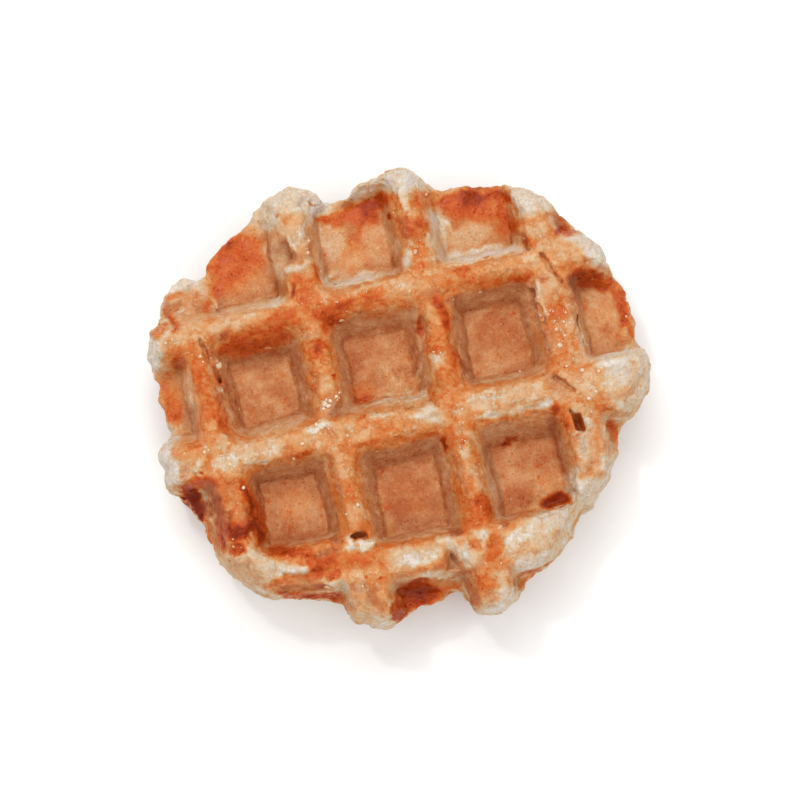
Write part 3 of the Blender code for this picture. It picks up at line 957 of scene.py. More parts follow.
brown 38.4 13 .6 3 -10 .5 a
rust -24.4 34 1.2 2 20 .7 a
rust 1.4 38 1.4 2.2 10 .7 a
rust -8 37.6 1 .9 0 .6 a
blush -16.6 4 .5 8 0 .5 a
brick -13 -41.2 1.5 1.2 0 .75 a
taupe -16.3 -37 1.5 1.6 0 .7 a
rust -21.4 -34 1.6 1.1 0 .75 a
brown -19 -26.8 1.2 1 0 .75 a
brown -22.6 -28.8 1.6 .6 0 .6 a
brick 8.4 -44.8 1.9 1.1 0 .7 a
honey 13.6 -42.4 1.3 1.6 0 .7 a
clay 34.4 -22.6 2.2 1.3 0 .8 a
honey 43.8 -9.4 1.7 1.1 -10 .6 a
khaki 43.4 -10.4 2.2 .7 -10 .6 a
flour 34.4 -17.4 1 2 0 .6 a
blush 36.4 -.6 2.4 1.2 -15 .75 c
cream -38 -2.2 1.7 1.6 0 .75 c
butter -48 10.5 .7 4 0 .6 a
peach -11.7 32.8 .9 4.4 0 .65 a
white -5.6 40.6 3 .9 8 .7 a
cream 33.4 31 1.6 1.8 0 .6 a
rust 39.8 25.3 1.3 1 0 .8 a
flame 39.2 30 .9 1.4 20 .8 a
brown 37.9 14.6 .9 1.6 0 .7 a
brown 31.6 8 .6 5.6 9 .55 a
brick 23 3 3 .8 0 .5 f
brown 4.2 8 .7 6.4 -6 .5 a
amber 0 16.7 4.6 .9 0 .5 a
brown -20 10.5 .8 4 0 .5 a
brown -34.2 5.6 .8 5.6 12 .5 a
brown -19.4 -.3 1.1 .9 0 .6 a
taupe -14.3 1.3 .9 1.2 0 .6 a
cream -31.8 -7.9 2.6 .55 3 .8 a
honey -25.6 -5 1.9 .8 0 .6 c
amber -14.3 -9 1 1.2 0 .7 c
taupe -16.8 -15 .6 5 0 .5 a
rust 10 -12.5 .7 1.5 0 .7 c
straw 12.6 -13 .6 2 0 .6 a
brown 1 -14.8 1.9 .9 0 .5 a
brown -30.8 -14.1 1.3 1.1 0 .6 a
brown 14.5 -30.7 1 .9 0 .7 a
brown 28.2 -19.5 .7 4 0 .5 a
brick -34 19.3 2.4 .9 20 .7 c
rust -42.5 22.4 .9 1.2 0 .8 a
amber -45.5 16.1 1.3 1.3 0 .7 a
white -39.3 30.4 3.4 .9 12 .7 a
flour -15.4 29.4 1.8 .8 0 .6 a
taupe -15.3 31.5 .9 1.3 0 .6 a
clay -18.7 35.5 1.1 2.4 0 .6 a
rust 1.7 37 1.5 2.3 10 .8 a
rust -5.8 36.2 1.2 .9 0 .7 a
orange 14 36 1.3 1.6 0 .6 a
peach 14.1 30.4 .8 4 0 .5 a
gold 25.8 33.6 1.4 1.2 0 .5 a
gold 25 19.6 4.4 .9 -4 .5 c
brown 32.7 17 1.4 .8 0 .5 a
brick 43.2 7 3.2 4 0 .35 f
butter 46.5 15.5 1.1 1.3 0 .7 a
gold 0 -9.1 4.6 .6 0 .5 a
gold -.8 -39.6 2 1.2 0 .7 a
cream -4.4 -37.6 4.6 .45 -4 .7 a
chestnut -31.4 -35.4 2.2 .6 -10 .7 a
amber -42.2 -21.2 .6 2.8 -8 .7 a
plum -41.2 -14.3 .9 2.4 15 .5 a
brown -36.6 -18.2 .9 2.2 0 .5 a
gold -25.6 28.4 4 2 0 .5 f
amber -30 31 3 2.6 40 .5 a
white 35.7 -14 .4 1.6 3 .9 a
white 33.4 -16.2 1.3 .45 0 .95 a
cream 33.4 -11.2 .5 .9 28 .8 a
flour 33.6 -18.9 1.2 2.4 0 .7 a
rust 39.2 -11.4 1.6 .5 15 .8 a
white -8.6 40.2 2.2 1.4 0 .8 a
cream -35 28.8 1.2 2.4 0 .8 a
cream .8 41.6 3 1.4 10 .7 a
white -3 24.2 5 .8 2 .75 a
white 21 23.7 8 .75 -1 .75 a
amber 0 -3 7 .9 -2 .55 a
honey 39 -11.5 3.6 1.2 -20 .5 a
amber 34 -24.5 3 1.1 -10 .65 a
gold 18 -36 4 1.2 -20 .6 a
amber 7.5 -34 1.2 1.8 0 .55 a
white -1 -38 3.6 .55 -2 .7 a
gold .6 -40 1.4 .7 0 .8 a
gold -46 11 2.2 5 0 .4 a
butter -42.5 10 1.2 4 0 .4 a
taupe 9.8 18.8 2.4 1.2 0 .45 a
khaki -38 -13 1 4 0 .45 a
cream 29.4 31.4 .9 2 0 .65 a
cream 32.6 26.6 1.4 1.4 0 .55 a
cream 38 -1.8 2.4 .8 0 .65 a
taupe 31 3.6 .6 4 4 .55 a
taupe 30 -3.8 .8 1.4 0 .55 a
rust 22 36.6 4 1 -4 .45 a
white -14.2 -29.2 2.2 .7 0 .8 a
flame 48 9.4 1.1 3.4 4 .85 a
flame 47.9 3.4 .8 3 0 .8 a
orange 46.6 13.4 1.6 1.3 -40 .7 a
chestnut 41.8 16 3.2 1.3 -14 .6 a
peach 43 6.4 3 4.6 4 .55 f
blush 42.2 1.6 2.4 2 0 .4 f
flame 17.6 36 1.8 1.4 0 .75 a
flame 27.8 36.4 1.8 1.2 0 .7 a
orange 24.2 32.4 2.6 1.3 -20 .6 a
orange 27.4 29 1.6 2.4 0 .6 a
flour 13.6 33.6 .5 2.6 0 .75 a
flour 14.6 30.2 .45 2.2 14 .7 a
white 16.4 31.2 .35 2 20 .6 a
peach 34.2 12.2 1.6 2.2 6 .7 c
peach 35 6.4 1.5 2.4 6 .6 c
white 31.9 15.2 .45 1.4 -10 .9 a
white 31.4 11.2 .4 2 12 .85 a
khaki 30 8.6 .7 3.4 4 .5 a
flour 37.9 2 .45 2.6 0 .7 a
clay 37.6 9 .5 3 4 .5 a
brown 42 19.3 1.6 .5 -20 .4 a
cream 31.8 33.6 1.2 1.6 0 .6 a
gold 8 20.4 2.2 1.4 0 .45 c
honey -26 -18 3.4 3.4 0 .5 f
peach -24.6 -19.6 2.4 2.6 0 .4 f
rust -33.7 -18.6 1 4.8 3 .8 a
chestnut -34 -21.4 .8 2.4 3 .6 a
clay -27.3 -33.8 4.6 1 -8 .65 a
brick -28.4 -34.6 3.4 .5 -8 .6 a
white -21.9 -35 1.4 .6 -10 .85 a
cream -29.2 -30.8 2.4 .7 -12 .6 a
honey -12 -31.8 2.4 .9 0 .6 a
rust -23.9 -30 3.2 .6 -8 .6 a
white -16.4 -27.6 .5 1 20 .8 a
wood 14.5 -19.4 .75 6.6 6 .75 a
taupe 14.9 -21 .5 5.6 6 .5 a
wood 8 -19 .6 6.4 6 .6 a
rust 11.8 -26.2 1.2 2.6 6 .75 a
white -35.5 13.6 .5 .7 0 .9 a
cream -35.9 8.2 .5 .8 0 .85 a
cream -14.4 42.6 3.2 1.5 0 .6 a
butter -13.4 39 1.6 2 0 .5 a
flour -13.3 36.4 .8 1.4 0 .7 a
white -10.2 25.8 1.6 .7 20 .7 a
gold -44.6 11.2 1.6 3 0 .5 a
amber -47.4 12 .9 2.6 0 .6 a
cream 21 -36.4 2.4 1.2 -30 .5 a
butter 12.4 -44.4 1.6 1.2 0 .6 a
clay 29.4 36.6 1.2 1.4 0 .75 a
clay 45.6 15.8 1.8 1 -35 .75 a
cream -.5 42.4 2.2 1 15 .85 a
white -9.8 40.8 1.6 1 0 .8 a
honey -32.2 34.2 1 2.2 -40 .75 a
honey 26.8 37.4 2.4 .8 0 .7 a
peach -3.8 40.4 1.8 .8 15 .75 a
honey 48 12.4 1.3 1.3 0 .75 a
honey 48.8 5.6 .7 1.6 0 .7 a
peach -47.6 13.8 .9 1.6 0 .75 a
flour -36.4 -33.2 1.6 .8 -40 .6 a
orange -27 37.3 1.6 1 -35 .8 a
amber -24 34.8 2 1.6 -40 .6 a
amber -6.4 38.4 1.6 1 20 .8 a
amber -2.6 37 1.6 1 0 .7 a
orange -33.3 27.6 1 1.6 0 .75 a
flour 31.8 31.6 .9 1.4 0 .75 a
rust 29 30.2 .7 2 0 .75 a
orange 17.4 35.6 1.6 1 0 .7 a
honey 43 7.2 1.8 1.8 0 .45 f
brick 43.4 3.4 1.8 1.4 0 .5 f
amber 26.9 28.3 1.2 1 0 .6 a
gold -37.8 -15 1 4 3 .45 a
brown -21 -28.6 2 .8 -5 .6 a
straw -19 32 1.4 5 0 .7 a
"""


def seen(x, y, z):
    """The patches are laid on from one point high above, so one patch covers wall and floor alike."""
    t = (THICK - z) / (608.0 - z)
    return x - t * (x + 14.6), y - t * (y + 66.7)


def patch_rows():
    for line in PATCHES.strip().splitlines():
        name, *v, key = line.split()
        yield (name, *map(float, v), key)


def warped(x, y, z):
    sx, sy = seen(x, y, z)
    wx = sx + 0.65 * noise(x, y, z, 4.6, 91) + 0.55 * noise(x, y, z, 1.9, 92) + 0.30 * noise(x, y, z, 0.95, 93)
    wy = sy + 0.65 * noise(x, y, z, 4.6, 94) + 0.55 * noise(x, y, z, 1.9, 95) + 0.30 * noise(x, y, z, 0.95, 96)
    return wx, wy


def patch_masks(co, no, names=None, soft=None):
    """For each patch the points it reaches and how strongly it covers them."""
    x, y, z = co.T
    shown = sstep(5.0, 10.0, z) * sstep(-0.55, -0.1, no[:, 2])
    shown = shown * (1.0 - 0.75 * sstep(17.0, 14.0, z) * sstep(0.45, 0.15, no[:, 2]))
    wx, wy = warped(x, y, z)
    where = {"a": shown, "c": shown * sstep(17.6, 20.4, z), "f": shown * sstep(19.0, 16.6, z),
             "w": shown * sstep(0.9, 0.7, no[:, 2])}
    for name, px, py, a, b, turn, strength, key in patch_rows():
        if names and name not in names:
            continue
        reach = max(a, b) + 2.5
        ids = np.nonzero((np.abs(wx - px) < reach) & (np.abs(wy - py) < reach) & (shown > 0.0))[0]
        if not len(ids):
            continue
        p, q = turned(wx[ids], wy[ids], px, py, turn)
        d = np.sqrt((p / a) ** 2 + (q / b) ** 2)
        s = soft if soft is not None else min(0.48, 0.28 / min(a, b) + 0.13)
        yield name, ids, strength * sstep(1.0 + s, 1.0 - s, d) * where[key][ids]


# ------------------------------------------------------------------ the dough as a field
STEP = 0.40
# undercuts below flakes and torn skin: x, y, z, half sizes, turn in degrees
UNDERCUTS = [
    (29.9, 10.6, 20.6, 1.5, 5.4, 1.7, -9),
    (37.9, 8.0, 20.6, 0.6, 4.0, 1.0, 4),
    (6.7, 12.2, 20.4, 0.9, 2.4, 1.4, -8),
    (3.4, -35.2, 20.6, 0.6, 1.8, 1.3, 10),
    (-22.3, 34.4, 18.6, 0.7, 1.8, 1.0, 10),
    (-43.8, -18.5, 18.6, 0.6, 5.0, 0.9, -14),
    (-17.0, 32.6, 21.0, 0.9, 1.9, 1.6, 15),
    (-24.4, -27.6, 19.2, 6.0, 0.7, 0.9, -13),
    (31.2, 24.8, 21.8, 0.5, 1.6, 1.4, -10),
]
# flakes and flaps of skin that stand proud of what is round them, in the same form
SLABS = [
    (33.3, 10.8, 22.85, 2.7, 7.0, 0.75, -9),
    (34.2, 1.8, 23.0, 2.0, 3.4, 0.6, 4),
    (5.7, -35.0, 21.9, 1.4, 2.9, 0.6, 12),
    (-15.5, 34.6, 22.3, 0.65, 2.0, 0.55, -20),
    (-14.2, -28.8, 22.6, 2.5, 0.9, 0.5, 0),
    (35.3, -13.8, 22.8, 0.7, 2.1, 0.6, 0),
    (17.5, -4.5, 23.0, 2.3, 0.7, 0.45, -10),
    (-23.4, -28.5, 20.9, 6.4, 0.45, 0.55, -14),
    (-33.6, 25.9, 19.6, 0.45, 1.3, 1.1, 5),
    (-35.7, 13.1, 21.9, 0.5, 0.9, 0.6, 15),
    (8.9, 8.9, 22.6, 1.9, 0.8, 0.6, 10),
    (31.5, -25.0, 22.0, 0.5, 1.6, 0.5, 10),
    (34.5, -25.2, 22.3, 1.4, 0.45, 0.4, 25),
    (-28.0, -35.3, 19.6, 5.5, 0.6, 0.6, -6),
    (3.6, -37.5, 19.8, 2.8, 0.4, 0.5, -5),
]


def rim_distance(x, y):
    """How far inside the rim a point of the plan lies, in mm, negative outside."""
    deg = np.arange(0.0, 360.0, 0.5)
    r = rim_radius(deg)
    px, py = r * np.cos(np.radians(deg)), r * np.sin(np.radians(deg))
    flat = np.stack([x.ravel(), y.ravel()], 1)
    best = np.full(len(flat), 1e9)
    for i in range(len(deg)):
        j = (i + 1) % len(deg)
        ax, ay, bx, by = px[i], py[i], px[j], py[j]
        ex, ey = bx - ax, by - ay
        t = np.clip(((flat[:, 0] - ax) * ex + (flat[:, 1] - ay) * ey) / (ex * ex + ey * ey), 0.0, 1.0)
        best = np.minimum(best, (flat[:, 0] - ax - t * ex) ** 2 + (flat[:, 1] - ay - t * ey) ** 2)
    dist = np.sqrt(best).reshape(x.shape)
    inside = np.hypot(x, y) < rim_radius(np.degrees(np.arctan2(y, x)))
    return np.where(inside, dist, -dist)


def dough_field():
    gx = np.arange(-54.2, 54.3, STEP)
    gy = np.arange(-50.2, 50.3, STEP)
    gz = np.arange(-0.8, 25.4, STEP)
    x, y = np.meshgrid(gx, gy, indexing='ij')
    top, low = upper_height(x, y), lower_height(x, y)
    within = rim_distance(x, y)
    deg = np.degrees(np.arctan2(y, x))
    roll = round_table(deg, RIM_ROLL)

    def steep(h):
        a, b = np.gradient(h, STEP)
        return np.sqrt(1.0 + np.minimum(a * a + b * b, 16.0))
    st, sl = steep(top), steep(low)
    field = np.empty((len(gx), len(gy), len(gz)), np.float32)
    reach = 13.4
    ragged = 0.45 * noise(x, y, 4.0, 4.4, 41) + 0.25 * noise(x, y, 4.0, 2.1, 42)
    seam = 0.5 + 0.5 * noise(x, y, 7.0, 14.0, 43)
    for k, z in enumerate(gz):
        f_top = (z - top) / st
        f_low = (low - z) / sl
        # layers of dough stand in and out round the side
        layer = 0.30 * np.sin((z + 1.6 * seam) * 1.35 + 3.0 * seam) * seam
        q = np.clip(1.0 - (within + ragged + layer) / roll, 0.0, 4.0)
        w = abs(z - MID) / reach
        side = roll * ((q ** 2.3 + w ** 2.3) ** (1.0 / 2.3) - 1.0)
        f = smax(smax(f_top, side, 1.2), smax(f_low, side, 1.2), 0.2)
        field[:, :, k] = f
    cuts = [(row, False) for row in HOLES + UNDERCUTS]
    for row, proud in [(row, True) for row in SLABS] + cuts:
        cx, cy, cz, a, b, c, turn = row
        big = max(a, b) + 2.0
        i0, i1 = np.searchsorted(gx, cx - big), np.searchsorted(gx, cx + big)
        j0, j1 = np.searchsorted(gy, cy - big), np.searchsorted(gy, cy + big)
        xx, yy, zz = gx[i0:i1, None, None], gy[None, j0:j1, None], gz[None, None, :]
        u, v = turned(xx, yy, cx, cy, turn)
        wob = 0.24 * noise(xx, yy, zz, 1.6, 47)
        if proud:
            flat = ((u / a) ** 2 + (v / b) ** 2) ** 1.5 + np.abs((zz - cz) / c) ** 3
            shape = (flat ** (1.0 / 3.0) + 0.6 * wob - 1.0) * min(a, b, c)
            field[i0:i1, j0:j1] = smin(field[i0:i1, j0:j1], shape, 0.3)
        else:
            power = 2.5 if row in HOLES else 2.0
            e = ((np.abs(u / a) ** power + np.abs(v / b) ** power) ** (2.0 / power) + ((zz - cz) / c) ** 2) ** 0.5 + wob
            field[i0:i1, j0:j1] = smax(field[i0:i1, j0:j1], (1.0 - e) * min(a, b), 0.25)
    return field, gx, gy, gz


def contour(field, gx, gy, gz):
    """Closed quad mesh round the field's negative side, one vertex in each cell it crosses."""
    neg = field < 0.0
    nx, ny, nz = field.shape
    corner = [(0, 0, 0), (1, 0, 0), (0, 1, 0), (1, 1, 0), (0, 0, 1), (1, 0, 1), (0, 1, 1), (1, 1, 1)]
    count = np.zeros((nx - 1, ny - 1, nz - 1), np.int8)
    for a, b, c in corner:
        count += neg[a:nx - 1 + a, b:ny - 1 + b, c:nz - 1 + c]
    cells = np.argwhere((count > 0) & (count < 8))
    index = np.full(count.shape, -1, np.int64)
    index[tuple(cells.T)] = np.arange(len(cells))
    total = np.zeros((len(cells), 3))
    hits = np.zeros(len(cells))
    edges = [(0, 1), (2, 3), (4, 5), (6, 7), (0, 2), (1, 3), (4, 6), (5, 7), (0, 4), (1, 5), (2, 6), (3, 7)]
    value = [field[cells[:, 0] + a, cells[:, 1] + b, cells[:, 2] + c] for a, b, c in corner]
    for i, j in edges:
        va, vb = value[i], value[j]
        cross = (va < 0.0) != (vb < 0.0)
        t = np.where(cross, va / np.where(cross, va - vb, 1.0), 0.0)
        pa, pb = np.array(corner[i], float), np.array(corner[j], float)
        total += np.where(cross[:, None], pa + t[:, None] * (pb - pa), 0.0)
        hits += cross
    co = cells + total / hits[:, None]
    co = co * STEP + np.array([gx[0], gy[0], gz[0]])
    faces = []
    for axis in range(3):
        lo = [slice(None)] * 3
        hi = [slice(None)] * 3
        lo[axis], hi[axis] = slice(0, -1), slice(1, None)
        e = np.argwhere(neg[tuple(lo)] != neg[tuple(hi)])
        o1, o2 = (axis + 1) % 3, (axis + 2) % 3
        e = e[(e[:, o1] > 0) & (e[:, o2] > 0) & (e[:, o1] < field.shape[o1] - 1) & (e[:, o2] < field.shape[o2] - 1)]
        start_neg = neg[tuple(e.T)]
        quad = []
        for d1, d2 in ((-1, -1), (0, -1), (0, 0), (-1, 0)):
            c = e.copy()
            c[:, o1] += d1
            c[:, o2] += d2
            quad.append(index[tuple(c.T)])
        quad = np.stack(quad, 1)
        quad[~start_neg] = quad[~start_neg][:, ::-1]
        faces.append(quad)
    return co, np.concatenate(faces)


def sample(field, gx, gy, gz, p):
    """Trilinear value of the field at points p."""
    q = [(p[:, 0] - gx[0]) / STEP, (p[:, 1] - gy[0]) / STEP, (p[:, 2] - gz[0]) / STEP]
    i = [np.clip(np.floor(c).astype(int), 0, n - 2) for c, n in zip(q, field.shape)]
    f = [np.clip(c - k, 0.0, 1.0) for c, k in zip(q, i)]
    out = 0.0
    for a in (0, 1):
        for b in (0, 1):
            for c in (0, 1):
                w = (f[0] if a else 1 - f[0]) * (f[1] if b else 1 - f[1]) * (f[2] if c else 1 - f[2])
                out = out + w * field[i[0] + a, i[1] + b, i[2] + c]
    return out


def make_mesh(name, co_mm, faces, smooth=True):
    mesh = bpy.data.meshes.new(name)
    mesh.vertices.add(len(co_mm))
    mesh.vertices.foreach_set("co", (co_mm * MM).astype(np.float32).ravel())
    mesh.loops.add(faces.size)
    mesh.loops.foreach_set("vertex_index", faces.astype(np.int32).ravel())
    mesh.polygons.add(len(faces))
    mesh.polygons.foreach_set("loop_start", np.arange(0, faces.size, faces.shape[1], dtype=np.int32))
    mesh.update(calc_edges=True)
    mesh.validate()
    if smooth:
        mesh.shade_smooth()
    obj = bpy.data.objects.new(name, mesh)
    bpy.context.scene.collection.objects.link(obj)
    return obj


def read_mesh(mesh):
    n = len(mesh.vertices)
    co, no = np.empty(n * 3, np.float32), np.empty(n * 3, np.float32)
    mesh.vertices.foreach_get("co", co)
    mesh.vertex_normals.foreach_get("vector", no)
    return co.reshape(-1, 3).astype(np.float64) / MM, no.reshape(-1, 3).astype(np.float64)


def smooth_pass(co, quads, factor=0.5):
    """Each point moves towards the middle of its faces' centres."""
    centre = co[quads].mean(axis=1)
    total, count = np.zeros_like(co), np.zeros(len(co))
    for k in range(4):
        for axis in range(3):
            total[:, axis] += np.bincount(quads[:, k], centre[:, axis], len(co))
        count += np.bincount(quads[:, k], minlength=len(co))
    return co + factor * (total / np.maximum(count, 1.0)[:, None] - co)


def zones(co, no):
    """Where on the waffle each point is, as numbers from 0 to 1."""
    x, y, z = co.T
    up = no[:, 2] > 0.0
    torn = 0.75 * noise(x, y, z, 2.2, 65) + 0.35 * noise(x, y, z, 1.1, 66)
    near_top = sstep(20.2, 21.5, z + torn)
    near_low = sstep(THICK - 20.2, THICK - 21.5, z - torn)
    floor_up = sstep(18.2, 15.9, z) * sstep(0.60, 0.86, no[:, 2])
    floor_low = sstep(THICK - 18.2, THICK - 15.9, z) * sstep(0.60, 0.86, -no[:, 2])
    radius = np.hypot(x, y) / rim_radius(np.degrees(np.arctan2(y, x)))
    inset = (1.0 - radius) * np.hypot(x, y)
    roll = round_table(np.degrees(np.arctan2(y, x)), RIM_ROLL)
    side = sstep(1.0, 0.45, inset / roll)
    return dict(x=x, y=y, z=z, nx=no[:, 0], ny=no[:, 1], nz=no[:, 2], up=up, crest=np.maximum(near_top, near_low),
                floor=np.maximum(floor_up, floor_low), side=side, inset=inset, roll=roll)


def roughen(co, no):
    """The dough's own relief: soft lumps and pits where the iron pressed it, torn layers at the rim."""
    zn = zones(co, no)
    x, y, z = co.T
    pressed = 1.0 - zn["side"]
    crest, floor = zn["crest"] * pressed, zn["floor"]
    wall = pressed * (1.0 - zn["crest"]) * (1.0 - floor)
    d = np.zeros(len(co))
    d += (0.18 * crest + 0.10 * wall + 0.07 * floor) * noise(x, y, z, 2.9, 51)
    d += (0.075 * crest + 0.05 * wall + 0.04 * floor) * noise(x, y, z, 1.4, 52)
    # walls were dragged as the iron opened: streaks along z
    d += 0.045 * wall * noise(x, y, z * 0.22, 1.5, 53)
    # pits and small blisters
    d -= (0.26 * crest + 0.14 * floor + 0.10 * wall) * sstep(0.40, 0.76, noise(x, y, z, 1.9, 54))
    d += 0.16 * crest * sstep(0.40, 0.75, noise(x, y, z, 2.1, 55))
    # thin skin that lifts in steps
    terrace = noise(x, y, z, 5.0, 56) * 2.2
    d += 0.10 * crest * (sstep(0.42, 0.58, terrace - np.floor(terrace)) - 0.5)
    # the rim: fibrous, torn, in layers
    s = zn["side"]
    d += s * 0.55 * noise(x, y, z * 1.3, 3.8, 57)
    d += s * 0.30 * noise(x, y, z * 1.5, 1.9, 58)
    d -= s * 0.34 * (1.0 - np.abs(noise(x, y, z * 1.8, 2.6, 59))) ** 6
    d += s * 0.10 * noise(x, y, z, 1.1, 60)
    d -= s * 0.5 * sstep(0.42, 0.78, noise(x, y, z, 2.4, 61))
    # flakes of pale skin stand up, dark slits and spots lie a little lower
    lift = {"white": 0.34, "char": -0.30}
    for name, ids, amount in patch_masks(co, no, names=lift, soft=0.16):
        d[ids] += lift[name] * amount
    d = d * sstep(-0.2, 0.8, z)
    return co + no * d[:, None]


def one_body(co, quads):
    """Only the largest connected body: no loose flake and no closed hollow inside."""
    a, b = quads.ravel(), np.roll(quads, 1, axis=1).ravel()
    label = np.arange(len(co))
    while True:
        low = np.minimum(label[a], label[b])
        new = label.copy()
        np.minimum.at(new, a, low)
        np.minimum.at(new, b, low)
        for _ in range(4):
            new = new[new]
        if (new == label).all():
            break
        label = new
    keep = label == np.bincount(label).argmax()
    index = np.cumsum(keep) - 1
    return co[keep], index[quads[keep[quads[:, 0]]]]


field, gx, gy, gz = dough_field()
co, quads = one_body(*contour(field, gx, gy, gz))
co = smooth_pass(co, quads, 0.25)
print("contour", len(co), "points", len(quads), "quads", round(time.time() - T0, 1), "s")

waffle = make_mesh("waffle_dough", co, quads)
co, no = read_mesh(waffle.data)
co = roughen(co, no)
# it stands on a few points of the lower ridges, all at the floor's height
co[:, 2] -= np.sort(co[:, 2])[40]
co[:, 2] = np.maximum(co[:, 2], 0.0)
waffle.data.vertices.foreach_set("co", (co * MM).astype(np.float32).ravel())
waffle.data.update()

def collapse(locked, target):
    """Thin the mesh to `target` triangles, leaving the points in `locked` alone."""
    group = waffle.vertex_groups.new(name="locked")
    group.add([int(i) for i in np.nonzero(locked)[0]], 1.0, 'REPLACE')
    faces = sum(len(p.vertices) - 2 for p in waffle.data.polygons)
    dec = waffle.modifiers.new("fewer", 'DECIMATE')
    dec.decimate_type = 'COLLAPSE'
    dec.ratio = target / faces
    dec.use_collapse_triangulate = True
    dec.vertex_group = group.name
    dec.vertex_group_factor = 1.0
    dec.invert_vertex_group = True
    with bpy.context.temp_override(object=waffle, active_object=waffle, selected_objects=[waffle]):
        bpy.ops.object.modifier_apply(modifier="fewer")
    waffle.vertex_groups.clear()


# fewer triangles on the underside than on the upper face, and fewest where nothing happens
UPPER_TRIS, LOWER_TRIS = 138000, 58000
upper = co[:, 2] > 10.0
upper_all = 2 * int(upper[quads].all(axis=1).sum())
collapse(upper, upper_all + LOWER_TRIS)
co, no = read_mesh(waffle.data)
collapse(co[:, 2] <= 10.0, UPPER_TRIS + LOWER_TRIS)
waffle.vertex_groups.clear()
waffle.data.validate()
waffle.data.shade_smooth()
waffle.data.calc_loop_triangles()
print("decimated to", len(waffle.data.polygons), "faces", len(waffle.data.loop_triangles), "triangles", round(time.time() - T0, 1), "s")


